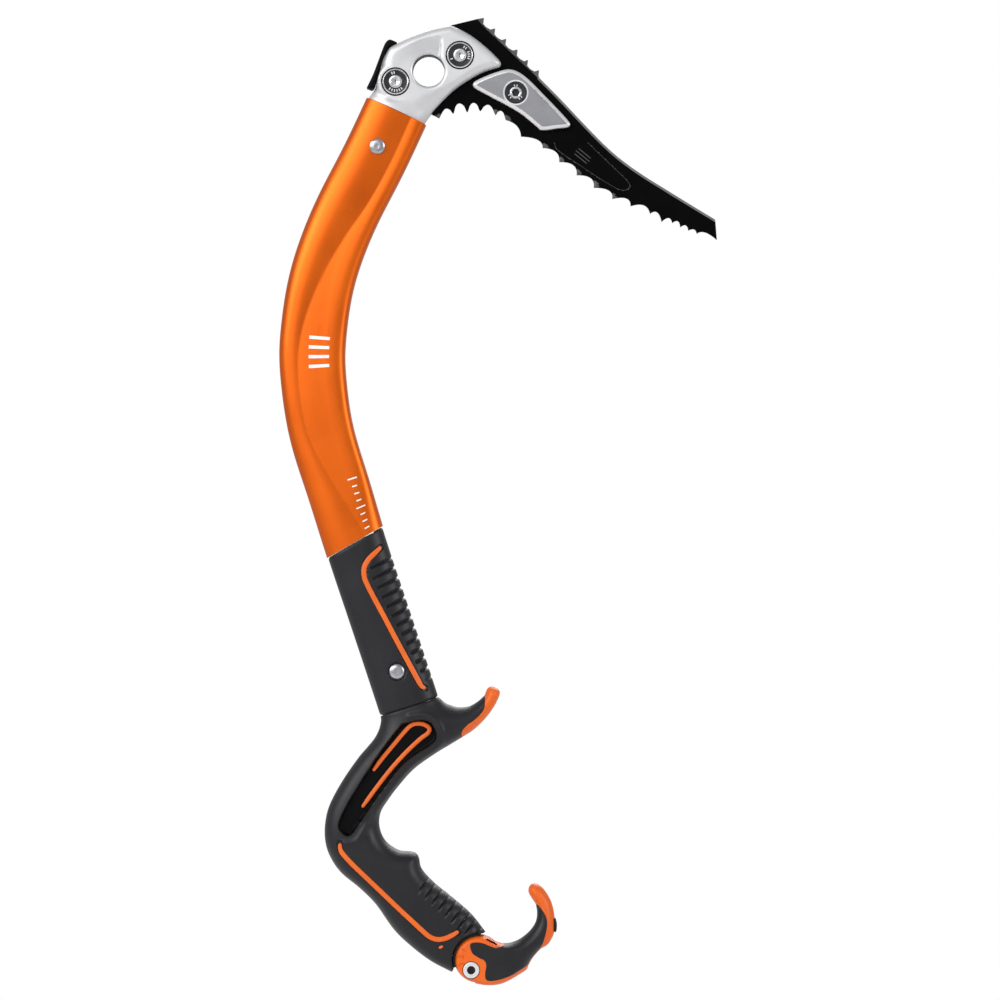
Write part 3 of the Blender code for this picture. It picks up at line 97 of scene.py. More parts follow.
def unleaned(points):
    """The way back: x, z in metres to (side, up) millimetres at the handle's top."""
    dx, dz = points[:, 0] / MM - HANDLE_TOP[0], points[:, 1] / MM - HANDLE_TOP[1]
    return np.column_stack([dx * math.cos(LEAN) + dz * math.sin(LEAN),
                            dz * math.cos(LEAN) - dx * math.sin(LEAN)])


# %% [markdown]
# ## Curves from a few points
# A maker bends a spline through a handful of pins.  The curve here does the same: between two pins
# it blends their neighbours with a cubic, so it passes through every pin without a corner.
# %% Splines and even spacing
def curve_through(pins, steps=12):
    """Cubic through every pin: half of (2b + (c-a)t + (2a-5b+4c-d)t^2 + (3b-a-3c+d)t^3)."""
    pins = np.vstack([2 * pins[0] - pins[1], pins, 2 * pins[-1] - pins[-2]])
    a, b, c, d = (pins[k:len(pins) - 3 + k, None, :] for k in range(4))
    t = np.linspace(0.0, 1.0, steps, endpoint=False)[None, :, None]
    curve = 0.5 * (2 * b + (c - a) * t + (2 * a - 5 * b + 4 * c - d) * t ** 2
                   + (3 * b - a - 3 * c + d) * t ** 3)
    return np.vstack([curve.reshape(-1, 2), pins[-2:-1]])


def lengths(curve):
    """Distance run along the curve at each of its points."""
    return np.concatenate([[0.0], np.cumsum(np.hypot(*np.diff(curve, axis=0).T))])


def evenly(curve, pitch):
    """The curve again, with points one pitch apart as nearly as its length allows."""
    run = lengths(curve)
    marks = np.linspace(0.0, run[-1], max(1, int(round(run[-1] / pitch))) + 1)
    return np.column_stack([np.interp(marks, run, curve[:, k]) for k in (0, 1)])


def straight(a, b, pitch=0.5 * MM):
    """Evenly spaced points from a to b."""
    return evenly(np.array([a, b]), pitch)


def headings(path):
    """Unit direction of a path at each of its points."""
    aim = np.gradient(path, axis=0)
    return aim / np.hypot(*aim.T)[:, None]


def joined(ring):
    """A ring with its first point again at the end."""
    return np.vstack([ring, ring[:1]])


def bent(pins, pitch=0.5 * MM):
    return evenly(curve_through(pins), pitch)


def loop_of(*runs):
    """Runs that meet end to end become one closed outline, turned anticlockwise."""
    outline = np.vstack([run[:-1] for run in runs])
    x, z = outline.T
    area = np.sum(x * np.roll(z, -1) - np.roll(x, -1) * z)
    return outline if area > 0 else outline[::-1]


def round_loop(centre, radius, count=64):
    angle = np.arange(count) * 2 * math.pi / count
    return np.array(centre) + radius * np.column_stack([np.cos(angle), np.sin(angle)])


# %% [markdown]
# ## Measuring how far a point is from an edge
# Rounded edges need that distance.  The plain shortest distance has a crease down the middle of
# every limb, which would show as a line in the shine.  Adding up the pull of the whole edge, each bit
# weighted by its distance to the minus fifth power, gives a length that is the same close to the edge
# and has no crease inside.
# %% Sharp and soft distance
def by_parts(work, points, size=3000):
    """Runs a whole-array job on a few thousand points at a time to save memory."""
    return np.concatenate([work(points[k:k + size]) for k in range(0, len(points), size)])


def gap_to(points, curve, closed=False):
    """Shortest distance from each point to the curve's straight bits."""
    a = curve if closed else curve[:-1]
    b = np.roll(curve, -1, axis=0) if closed else curve[1:]
    along = b - a
    size = np.sum(along * along, axis=1)

    def work(part):
        reach = part[:, None, :] - a[None]
        t = np.clip(np.sum(reach * along[None], axis=2) / size[None], 0.0, 1.0)
        off = reach - t[:, :, None] * along[None]
        return np.sqrt(np.min(np.sum(off * off, axis=2), axis=1))
    return by_parts(work, points)


def soft_gap(points, rails):
    """Fourth root of (4/3 over the sum of pitch / distance^5), which is the distance near one edge."""
    beads = np.vstack([rail[:-1] for rail in rails])
    weight = np.concatenate([np.hypot(*np.diff(rail, axis=0).T) for rail in rails])
    pitch = float(weight.mean())

    def work(part):
        square = np.sum((part[:, None, :] - beads[None]) ** 2, axis=2) + 1e-12
        pull = np.sum(weight[None] / (square * square * np.sqrt(square)), axis=1)
        return (4.0 / 3.0 / pull) ** 0.25
    soft = by_parts(work, points)
    sharp = np.min([gap_to(points, rail) for rail in rails], axis=0)
    return np.where(sharp < pitch, sharp, soft)


def within(points, outline):
    """True where a level line to the right crosses the outline an odd number of times."""
    a, b = outline, np.roll(outline, -1, axis=0)
    rise = np.where(b[:, 1] == a[:, 1], 1e-12, b[:, 1] - a[:, 1])

    def work(part):
        z = part[:, 1:2]
        spans = (a[None, :, 1] > z) != (b[None, :, 1] > z)
        cross = (b[:, 0] - a[:, 0])[None] * (z - a[None, :, 1]) / rise[None] + a[None, :, 0]
        return (np.sum(spans & (part[:, 0:1] < cross), axis=1) % 2) == 1
    return by_parts(work, points)


def ease(value, low, high):
    """Goes from 0 at low to 1 at high with level ends: 3s^2 - 2s^3."""
    s = np.clip((value - low) / (high - low), 0.0, 1.0)
    return s * s * (3.0 - 2.0 * s)


def crown(share, power=2.3):
    """Rounded edge profile: 0 at the edge, 1 inside, a squared-off quarter ellipse between."""
    s = 1.0 - np.clip(share, 0.0, 1.0)
    return (1.0 - s ** power) ** (1.0 / power)


# %% [markdown]
# ## A body with two faces
# Forged, moulded and cut pieces of this axe all have a side outline and a thickness that changes
# across it.  So each is a sheet of small triangles inside the outline, raised to a near face and a
# far face by a depth function.  Points crowd at the rim, where the rounding is quick.
# %% Fill an outline with points and raise two faces
COARSE = 1.0
RIM_STEPS = (0.05, 0.17, 0.38, 0.70, 1.15, 1.75)


def fill(outline, pitch, holes=(), extra=()):
    """Rim rows, a staggered grid and the outline itself, joined into triangles."""
    edges, rows, start = [], [], 0
    for loop in (outline, *holes):
        n = len(loop)
        edges += [(start + i, start + (i + 1) % n) for i in range(n)]
        rows.append(loop)
        start += n
    step = np.roll(outline, -1, axis=0) - np.roll(outline, 1, axis=0)
    inward = np.column_stack([-step[:, 1], step[:, 0]]) / np.hypot(*step.T)[:, None]
    for reach in RIM_STEPS:
        row = outline + inward * reach * MM
        rows.append(row[gap_to(row, outline, True) > 0.88 * reach * MM])
    low, high = outline.min(axis=0), outline.max(axis=0)
    gx, gz = np.meshgrid(np.arange(low[0], high[0], pitch), np.arange(low[1], high[1], pitch * 0.87))
    gx = gx + (np.arange(gx.shape[0]) % 2)[:, None] * pitch / 2
    grid = np.column_stack([gx.ravel(), gz.ravel()])
    grid = grid[within(grid, outline)]
    grid = grid[gap_to(grid, outline, True) > RIM_STEPS[-1] * MM + 0.6 * pitch]
    for ring in holes:
        grid = grid[gap_to(grid, ring, True) > 0.45 * pitch]
    for row in extra:
        grid = grid[gap_to(grid, row) > 0.45 * pitch]
    inner = np.vstack([*rows[1 + len(holes):], grid, *extra])
    inner = inner[within(inner, outline)]
    points = np.vstack([*rows[:1 + len(holes)], inner])
    found, _, tris, *_ = delaunay_2d_cdt([Vector(p) for p in points.tolist()], edges, [], 0, 1e-8)
    flat = np.array([(p[0], p[1]) for p in found])
    tris = np.array([tuple(t) for t in tris])
    middle = flat[tris].mean(axis=1)
    keep = within(middle, outline)
    for hole in holes:
        keep &= ~within(middle, hole)
    return flat, tris[keep]


def mesh_piece(name, verts, faces, mats, body, slot, smooth=32.0, kinds=None):
    """Puts arrays into a mesh, merges its seams, shades it smooth and hangs it on its body."""
    mesh = bpy.data.meshes.new(name)
    mesh.from_pydata(verts.tolist(), [], faces.tolist())
    for mat in mats:
        mesh.materials.append(mat)
    if kinds is not None:
        mesh.polygons.foreach_set("material_index", np.asarray(kinds, np.int32))
    work = bmesh.new()
    work.from_mesh(mesh)
    bmesh.ops.remove_doubles(work, verts=work.verts, dist=2e-7)
    bmesh.ops.dissolve_degenerate(work, edges=work.edges, dist=1e-8)
    bmesh.ops.recalc_face_normals(work, faces=work.faces)
    work.to_mesh(mesh)
    work.free()
    mesh.polygons.foreach_set("use_smooth", np.ones(len(mesh.polygons), bool))
    mesh.set_sharp_from_angle(angle=math.radians(smooth))
    piece = bpy.data.objects.new(name, mesh)
    bpy.context.scene.collection.objects.link(piece)
    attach(piece, body)
    print(f"{name}: {len(mesh.polygons)} faces")
    return piece


def raise_faces(flat, tris, near, far):
    """Near face at y = -near, far face at y = +far, and a wall where the rim keeps its depth."""
    n = len(flat)
    verts = np.vstack([np.column_stack([flat[:, 0], -near, flat[:, 1]]),
                       np.column_stack([flat[:, 0], far, flat[:, 1]])])
    sides = np.vstack([tris[:, [0, 1]], tris[:, [1, 2]], tris[:, [2, 0]]])
    code = sides[:, 0] * n + sides[:, 1]
    rim = sides[~np.isin(code, sides[:, 1] * n + sides[:, 0])]
    a, b = rim.T
    wall = np.vstack([np.column_stack([b, a, a + n]), np.column_stack([b, a + n, b + n])])
    return verts, np.vstack([tris, tris[:, ::-1] + n, wall])


def face_spots(verts, faces):
    """Middle of each face as seen from the side."""
    return verts[faces].mean(axis=1)[:, [0, 2]]


# %% [markdown]
# ## Finishes
# Every finish is a small node tree: fine grain for the bump, a broader cloud for colour and
# roughness, both read from object coordinates in metres, so a scale of 1000 is one cell a millimetre.
# %% One recipe, many settings
def new_node(tree, kind, **values):
    """A shader node with some inputs set; an underscore in a name stands for a space."""
    node = tree.nodes.new("ShaderNode" + kind)
    for key, value in values.items():
        node.inputs[key.replace("_", " ")].default_value = value
    return node


def finish(name, dark, light, rough, metallic=0.0, grain=1500.0, bump=0.05, cloud=60.0, spread=0.06,
           stretch=(1.0, 1.0, 1.0), **sockets):
    """Grain and cloud, half each, mix dark and light and shift the roughness; the grain alone pushes the
    bump a little.
    """
    mat = bpy.data.materials.new(name)
    mat.use_nodes = True
    tree = mat.node_tree
    shader = tree.nodes["Principled BSDF"]
    link = tree.links.new
    place = new_node(tree, "TexCoord")
    turn = new_node(tree, "Mapping", Scale=stretch)
    link(place.outputs["Object"], turn.inputs["Vector"])
    fine = new_node(tree, "TexNoise", Scale=grain, Detail=3.0)
    broad = new_node(tree, "TexNoise", Scale=cloud, Detail=4.0)
    for noise in (fine, broad):
        link(turn.outputs["Vector"], noise.inputs["Vector"])
    blend, half = new_node(tree, "Math"), new_node(tree, "Math")
    blend.operation, half.operation = "MULTIPLY_ADD", "MULTIPLY"
    blend.inputs[1].default_value = half.inputs[1].default_value = 0.5
    link(broad.outputs["Fac"], half.inputs[0])
    link(fine.outputs["Fac"], blend.inputs[0])
    link(half.outputs[0], blend.inputs[2])
    ramp = new_node(tree, "ValToRGB")
    stops = ramp.color_ramp.elements
    stops[0].position, stops[1].position = 0.32, 0.68
    stops[0].color, stops[1].color = (*dark, 1.0), (*light, 1.0)
    link(blend.outputs[0], ramp.inputs["Fac"])
    link(ramp.outputs["Color"], shader.inputs["Base Color"])
    rub = new_node(tree, "MapRange", From_Min=0.3, From_Max=0.7, To_Min=max(0.02, rough - spread),
                   To_Max=rough + spread)
    link(blend.outputs[0], rub.inputs["Value"])
    link(rub.outputs["Result"], shader.inputs["Roughness"])
    push = new_node(tree, "Bump", Strength=1.0, Distance=bump * MM)
    link(fine.outputs["Fac"], push.inputs["Height"])
    link(push.outputs["Normal"], shader.inputs["Normal"])
    shader.inputs["Metallic"].default_value = metallic
    for key, value in sockets.items():
        shader.inputs[key.replace("_", " ")].default_value = value
    return mat


# %% The axe's finishes
anodised = finish("orange anodised tube", (0.70, 0.108, 0.0010), (0.80, 0.143, 0.0024), 0.44, 0.80,
                  grain=2600, bump=0.016, cloud=35, Coat_Weight=0.10, Coat_Roughness=0.36)
forged = finish("forged silver head", (0.60, 0.60, 0.615), (0.68, 0.68, 0.69), 0.44, 0.45,
                grain=3200, bump=0.014, cloud=80)
black_steel = finish("black pick steel", (0.0008, 0.0008, 0.0010), (0.0018, 0.0018, 0.0021), 0.46, 0.0,
                     grain=1800, bump=0.01, cloud=90, Specular_IOR_Level=0.04)
ground_steel = finish("ground pick edge", (0.055, 0.055, 0.06), (0.12, 0.12, 0.125), 0.45, 0.5,
                      grain=2200, bump=0.02, cloud=200, stretch=(1.0, 6.0, 1.0))
bare_steel = finish("bare ridge steel", (0.13, 0.13, 0.135), (0.22, 0.22, 0.225), 0.45, 0.4,
                    grain=2200, bump=0.02, cloud=200, stretch=(1.0, 6.0, 1.0))
scribed_steel = finish("scribed panel line", (0.045, 0.045, 0.045), (0.075, 0.075, 0.075), 0.5, 0.2,
                       grain=2200, bump=0.01, cloud=200)
plate_grey = finish("weight plate face", (0.255, 0.255, 0.27), (0.30, 0.30, 0.315), 0.46, 0.45,
                    grain=2600, bump=0.012, cloud=120)
# Light steel for the setting ticks; on the weight plates it is a painted highlight along the bevelled rim
# and round the screw seat's edge.
light_ticks_and_rim_highlight = finish("light ticks and painted rim highlight", (0.70, 0.70, 0.72), (0.84, 0.84, 0.85), 0.34, 0.6,
                   grain=2200, bump=0.01, cloud=150)
bright_steel = finish("bright bolt steel", (0.66, 0.66, 0.68), (0.82, 0.82, 0.83), 0.27, 0.85,
                      grain=1300, bump=0.003, cloud=300)
rivet_steel = finish("dull rivet steel", (0.40, 0.40, 0.43), (0.52, 0.52, 0.55), 0.30, 0.85,
                     grain=1300, bump=0.003, cloud=400)
white_steel = finish("polished clamp steel", (0.66, 0.66, 0.67), (0.78, 0.78, 0.79), 0.36, 0.40,
                     grain=1300, bump=0.003, cloud=300)
# Dark steel for the bolts' blackened faces and the weight screw; the same dark is painted shade in the
# head's bolt seats and eye, the bolt slits and the clamp screw's socket.
dark_steel_and_painted_shade = finish("dark bolt face and painted shade", (0.014, 0.014, 0.017), (0.036, 0.036, 0.040), 0.38, 0.2,
                    grain=2000, bump=0.02, cloud=300, Specular_IOR_Level=0.3)
rubber = finish("black moulded rubber", (0.0055, 0.0055, 0.0074), (0.0100, 0.0100, 0.0130), 0.47, 0.0,
                grain=3400, bump=0.035, cloud=70, Specular_IOR_Level=0.36, Sheen_Weight=0.05,
                Sheen_Roughness=0.4)
# Near-black with little shine: the rear strip's own black, and painted shade on the floor of the handle's
# pocket.
strip_black_and_pocket_shade = finish("black strip and painted pocket shade", (0.0008, 0.0008, 0.0011), (0.0018, 0.0018, 0.0023), 0.55, 0.0,
                      grain=3400, bump=0.02, cloud=70, Specular_IOR_Level=0.10)
# Black plastic for the hook's back insert; the same black is painted shade in the seam plug, the hub seal
# and the pommel's rim slit.
hard_black_and_painted_shade = finish("black plastic and painted shade", (0.003, 0.003, 0.0035), (0.006, 0.006, 0.007), 0.34, 0.0,
                    grain=2400, bump=0.02, cloud=90, Specular_IOR_Level=0.35)
nylon = finish("orange nylon", (0.70, 0.098, 0.0035), (0.80, 0.138, 0.0075), 0.44, 0.0,
               grain=2800, bump=0.014, cloud=60, Specular_IOR_Level=0.36, Subsurface_Weight=0.03)
inlay_orange = finish("orange inlay", (0.68, 0.110, 0.010), (0.78, 0.150, 0.018), 0.46, 0.0,
                      grain=2800, bump=0.014, cloud=80, Specular_IOR_Level=0.36)
white_print = finish("white print", (0.80, 0.80, 0.78), (0.90, 0.90, 0.88), 0.5, 0.0,
                     grain=2500, bump=0.01, cloud=100)
print("finishes:", len(bpy.data.materials))

# %% [markdown]
# ## The line of the tube
# The tube is bent in one plane.  Its middle line runs from the head's seam to the handle's seam, and
# every cross-section stands square to it.
# %% Middle line and cross-section
SEAM_REAR, SEAM_FRONT = upright([(-31.1, -13.6), (-2.3, -27.1)])
seam_aim = (SEAM_FRONT - SEAM_REAR) / np.hypot(*(SEAM_FRONT - SEAM_REAR))
seam_rise = np.array([-seam_aim[1], seam_aim[0]])
seam_mid = (SEAM_REAR + SEAM_FRONT) / 2
low_end, low_aim = HANDLE_TOP * MM, np.array([-math.sin(LEAN), math.cos(LEAN)])
SEAM_REACH, LOW_REACH = 28.0 * MM, 19.2 * MM
line_pins = np.vstack([seam_mid + SEAM_REACH * seam_rise, seam_mid, seam_mid - SEAM_REACH * seam_rise,
                       upright([(-44.4, -76.6), (-55.5, -107.7), (-60.1, -138.7), (-60.2, -154.2),
                                (-56.0, -185.3), (-46.4, -216.4), (-36.9, -247.4), (-26.5, -278.5)]),
                       low_end + LOW_REACH * low_aim, low_end, low_end - LOW_REACH * low_aim])
bell = np.exp(-0.5 * (np.arange(-40, 41) / 15.0) ** 2)
raw_line = evenly(curve_through(line_pins, 40), 0.5 * MM)
padded = np.vstack([raw_line[:1].repeat(40, axis=0), raw_line, raw_line[-1:].repeat(40, axis=0)])
soft_line = np.column_stack([np.convolve(padded[:, k], bell / bell.sum(), "valid") for k in (0, 1)])
first, last = (int(np.argmin(np.hypot(*(soft_line - p).T))) for p in (seam_mid, low_end))
tube_line = evenly(soft_line[first:last + 1], 0.5 * MM)
tube_run = lengths(tube_line)
tube_aim = headings(tube_line)
TUBE = float(tube_run[-1])
SQUARENESS = 2.6
GRIP_LENGTH, GRIP_SKEW = 89.4 * MM, 0.2226
SHAFT_WIDE, SHAFT_DEEP, GRIP_WIDE, GRIP_DEEP = 16.9 * MM, 11.3 * MM, 15.75 * MM, 11.8 * MM
print(f"tube line {TUBE / MM:.1f} mm")


def along_tube(run):
    """Middle point, downward aim and frontward normal at each run length."""
    middle = np.column_stack([np.interp(run, tube_run, tube_line[:, k]) for k in (0, 1)])
    aim = np.column_stack([np.interp(run, tube_run, tube_aim[:, k]) for k in (0, 1)])
    aim /= np.hypot(*aim.T)[:, None]
    return middle, aim, np.column_stack([-aim[:, 1], aim[:, 0]])


def squared_ring(angle, wide, deep, power=SQUARENESS):
    """Squared ellipse: each of cosine and sine keeps its sign and takes the power 2 / power."""
    c, s = np.cos(angle), np.sin(angle)
    return (wide * np.sign(c) * np.abs(c) ** (2 / power), deep * np.sign(s) * np.abs(s) ** (2 / power))


def tube_faces(rows, count):
    """Quads of a grid that closes round, each ring joined to the next."""
    k, i = np.meshgrid(np.arange(rows - 1), np.arange(count), indexing="ij")
    j = (i + 1) % count
    return np.stack([k * count + i, (k + 1) * count + i, (k + 1) * count + j, k * count + j],
                    axis=-1).reshape(-1, 4)


def capped(rings):
    """Rings with one more at each end, drawn in to the middle of the ring beside it."""
    ends = [np.broadcast_to(ring.mean(axis=0), ring.shape)[None] for ring in (rings[0], rings[-1])]
    return np.concatenate([ends[0], rings, ends[1]])


def ring_piece(name, rings, mats, body, slot, smooth):
    """A piece whose skin runs through the rings in turn."""
    rows, count = rings.shape[:2]
    return mesh_piece(name, rings.reshape(-1, 3), tube_faces(rows, count), mats, body, slot, smooth)


# %% [markdown]
# ## The bent tube
# The real tube is pressed after bending, so a long crease wanders from its front edge to its back and
# returns.  A valley is taken from the plain section: behind the crease it fades slowly, and in front of
# it it climbs in a straight slope to the front edge, where the section is drawn out a little squarer.
# %% Orange tube
def crease_place(run):
    """Where the crease lies across the width, -1 at the back and 1 at the front, evenly splined."""
    share = np.array([0.0, 0.08, 0.16, 0.23, 0.31, 0.38, 0.46, 0.54, 0.62, 0.70, 0.76])
    place = np.array([0.50, 0.52, 0.46, 0.21, -0.11, -0.35, -0.45, -0.40, -0.10, 0.30, 0.52])
    fine = curve_through(np.column_stack([share, place]), 16)
    return np.interp(run / TUBE, fine[:, 0], fine[:, 1])


def tube_drop(across, run):
    """Valley: depth * exp(-gap / 0.5) behind the crease and depth * (1 - gap / room) in front of it."""
    place = crease_place(run)
    off = across - place
    soft = np.sqrt(off ** 2 + 0.022 ** 2)
    bottom = np.interp(run / TUBE, [0.0, 0.02, 0.12, 0.35, 0.55, 0.70, 0.76],
                       [1.5, 1.7, 1.9, 2.2, 2.0, 1.1, 0.0]) * MM
    room = 0.96 - place
    return bottom * np.where(off < 0, np.exp(-soft / 0.5), np.clip(1.0 - soft / room, 0.0, 1.0))


def squarer(across, deep, run):
    """Front of the section drawn towards (1 - across^5)^(1/5), so the wall before the crease is flat."""
    boxy = np.sign(deep) * np.maximum(1.0 - np.abs(across) ** 5, 0.0) ** 0.2
    amount = ease(across, 0.0, 0.45) * (1.0 - ease(run / TUBE, 0.60, 0.76))
    return deep + (boxy - deep) * amount


def tube_wide(run):
    return SHAFT_WIDE * np.interp(run / TUBE, [0.0, 0.4, 0.74], [1.0, 1.012, 0.96])


def tube_skin(run, across, deep):
    """Point of the tube: middle + reach * front - skew * reach * aim, with y = deep less the valley."""
    stop = TUBE - GRIP_LENGTH
    skew = GRIP_SKEW * ease(run, stop - 30 * MM, stop)
    middle, aim, front = along_tube(run)
    reach = across * tube_wide(run)[..., None]
    deep = squarer(across, deep, run[..., None])
    drop = tube_drop(across, run[..., None]) * np.clip(np.abs(deep) * 1.6 - 0.6, 0.0, 1.0)
    side = np.sign(deep) * np.maximum(np.abs(deep) * SHAFT_DEEP - drop, 0.0)
    x = middle[:, 0:1] + reach * front[:, 0:1] - skew[:, None] * reach * aim[:, 0:1]
    z = middle[:, 1:2] + reach * front[:, 1:2] - skew[:, None] * reach * aim[:, 1:2]
    return np.stack([x, np.broadcast_to(side, x.shape), z], axis=-1)


def make_tube():
    """Grid of run by angle; the last rows turn in to close the tube under head and grip."""
    count, rows = ((230, 380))
    run = np.linspace(0.30 * MM, TUBE - GRIP_LENGTH - 0.25 * MM, rows)
    angle = np.arange(count) * 2 * math.pi / count
    across, deep = squared_ring(angle[None, :], 1.0, 1.0)
    grid = tube_skin(run, across, deep)
    first, last = grid[0].mean(axis=0), grid[-1].mean(axis=0)
    caps = [(first + (grid[0] - first) * s)[None] for s in (0.0, 0.9)]
    ends = [(last + (grid[-1] - last) * s)[None] for s in (0.9, 0.0)]
    rings = np.concatenate([*caps, grid, *ends])
    return ring_piece("bent_tube", rings, [anodised], "axe", "orange_anodised", 50)


bent_tube = make_tube()
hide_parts("shaft")

# %% [markdown]
# ## Plain white marks on the tube
# Printed marks follow the tube's surface.  Each is a small patch of the same grid function, lifted a
# few hundredths of a millimetre, so it bends with the tube instead of floating on it.
# %% Printed bars
def printed_bar(name, run, across, size, wide):
    """Patch of run by across on the near face, lifted, with a floor just under the skin."""
    r = (run + np.linspace(-size / 2, size / 2, 13)) * MM
    u = across + np.linspace(-wide / 2, wide / 2, 9)[None, :]
    deep = -(1.0 - np.abs(u) ** SQUARENESS) ** (1 / SQUARENESS)
    skin = tube_skin(r, u, deep)
    top, floor = skin - [0.0, 0.05 * MM, 0.0], skin + [0.0, 0.30 * MM, 0.0]
    rings = np.concatenate([top, floor[:, ::-1]], axis=1)
    return ring_piece(name, capped(rings), [white_print], "axe", "orange_anodised", 40)


for number, (run, long) in enumerate([(126.0, 0.62), (131.0, 0.62), (136.0, 0.62), (141.0, 0.62)]):
    printed_bar(f"level_bar_{number + 1}", run, 0.22, 1.7, long)
for number, run in enumerate(np.arange(203.0, 236.0, 4.0)):
    printed_bar(f"depth_tick_{number + 1}", run, 0.52, 0.7, 0.16 if number % 4 else 0.30)

# %% [markdown]
# ## The forged head
# One forging holds the pick and plugs into the tube.  Its cheeks are flat round the eye and swell to
# the tube's own section at the seam, so the depth, the rounding and the squareness all change with the
# height above that seam.  Seats, chamfer and scoop are small drops taken from that depth.
# %% Head outline, depth and slot
EYE, FRONT_BOLT, REAR_BOLT = np.zeros(2), upright([(16.15, 7.97)])[0], upright([(-17.1, -5.7)])[0]
BOLT_SEAT, CHEEK = 7.15 * MM, 8.5 * MM
HEAD_EYE, PICK_EYE, SLOT_HALF = 8.25 * MM, 8.5 * MM, 2.25 * MM
head_rim = bent(upright([(-2.3, -27.1), (1.9, -21.3), (6.1, -16.5), (10.9, -11.7), (16.1, -7.5),
                         (21.9, -3.8), (27.7, -0.7), (33.1, 1.2), (36.5, 2.2), (37.3, 4.4), (34.6, 7.8),
                         (29.3, 12.8), (22.5, 18.1), (15.6, 22.0), (11.1, 23.7)]))
head_back = bent(upright([(11.1, 23.7), (1.3, 21.5), (-9.2, 17.8), (-16.4, 14.4), (-19.8, 12.5),
                          (-21.6, 9.9), (-23.4, 5.7), (-25.6, -1.7), (-27.7, -8.6), (-31.1, -13.6)]))
head_seam = straight(SEAM_REAR, SEAM_FRONT)
head_outline = loop_of(head_rim, head_back, head_seam)
below_seam = [straight(p, p - SEAM_REACH * seam_rise) for p in (SEAM_REAR, SEAM_FRONT)]
head_rails = [head_rim, head_back, *below_seam]
SCOOP_TOP = bent(upright([(-18.0, 7.5), (-11.0, 12.8), (-4.0, 16.0), (2.0, 17.4), (9.0, 17.8)]))
RISER = (5.4 * MM, 7.4 * MM)


def scoop_drop(points):
    """Pressed flat above the eye: 2.1 mm * ramp to the right * window, ended by a riser at its right."""
    x, z = points.T
    ramp = ease(x, -19 * MM, 9 * MM) / ease(5 * MM, -19 * MM, 9 * MM)
    below = np.interp(x, *SCOOP_TOP.T) - z
    window = (0.35 * ease(below, 0.0, 1.2 * MM) + 0.65 * ease(below, 0.0, 7 * MM)) * ease(z, 0.0, 9 * MM)
    return 2.1 * MM * ramp * window * (1.0 - ease(x, *RISER))


def off_centre(points, centre):
    return np.hypot(*(points - centre).T)


def head_depth(points):
    """Half depth: cheek height times a crown of soft edge distance, less seats, chamfer and scoop."""
    above = (points - SEAM_REAR) @ seam_rise
    cheek = CHEEK + 1.3 * MM * (1.0 - ease(above, 0.0, 8 * MM))
    radius = SHAFT_WIDE + (4.2 * MM - SHAFT_WIDE) * ease(above, 0.0, 27 * MM)
    edge = 0.30 * ease(above, 2 * MM, 20 * MM)
    depth = cheek * (edge + (1 - edge) * crown(soft_gap(points, head_rails) / radius, 2.6))
    depth -= scoop_drop(points)
    depth -= 0.9 * MM * (1.0 - ease(off_centre(points, EYE), HEAD_EYE, 9.5 * MM))
    for spot in (FRONT_BOLT, REAR_BOLT):
        reach = off_centre(points, spot)
        boss = 1.0 - ease(reach, 8.6 * MM, 11.0 * MM)
        depth = depth * (1 - boss) + np.minimum(CHEEK, np.maximum(depth, 8.3 * MM)) * boss
        depth = np.where(reach < 7.36 * MM, BOLT_SEAT, depth)
    return depth


def cut_away(piece, *tools):
    """Takes closed tool shapes out of a piece, exactly, and keeps only the result."""
    for number, tool in enumerate(tools):
        step = piece.modifiers.new(f"cut_{number}", "BOOLEAN")
        step.operation, step.solver, step.object = "DIFFERENCE", "EXACT", tool
    done = bpy.data.meshes.new_from_object(piece.evaluated_get(bpy.context.evaluated_depsgraph_get()))
    piece.modifiers.clear()
    piece.data = done
    for tool in tools:
        bpy.data.objects.remove(tool, do_unlink=True)
    done.polygons.foreach_set("use_smooth", np.ones(len(done.polygons), bool))
    done.set_sharp_from_angle(angle=math.radians(32.0))
    return piece


def plate_tool(outline, low, high):
    """Closed plate between two planes across y, used only to cut."""
    n = len(outline)
    k = np.arange(n)
    verts = np.vstack([np.column_stack([outline[:, 0], np.full(n, y), outline[:, 1]]) for y in (low, high)])
    walls = np.column_stack([k, (k + 1) % n, (k + 1) % n + n, k + n]).tolist()
    mesh = bpy.data.meshes.new("tool")
    mesh.from_pydata(verts.tolist(), [], [list(range(n))[::-1], list(range(n, 2 * n)), *walls])
    work = bmesh.new()
    work.from_mesh(mesh)
    bmesh.ops.recalc_face_normals(work, faces=work.faces)
    work.to_mesh(mesh)
    work.free()
    tool = bpy.data.objects.new("tool", mesh)
    bpy.context.scene.collection.objects.link(tool)
    return tool


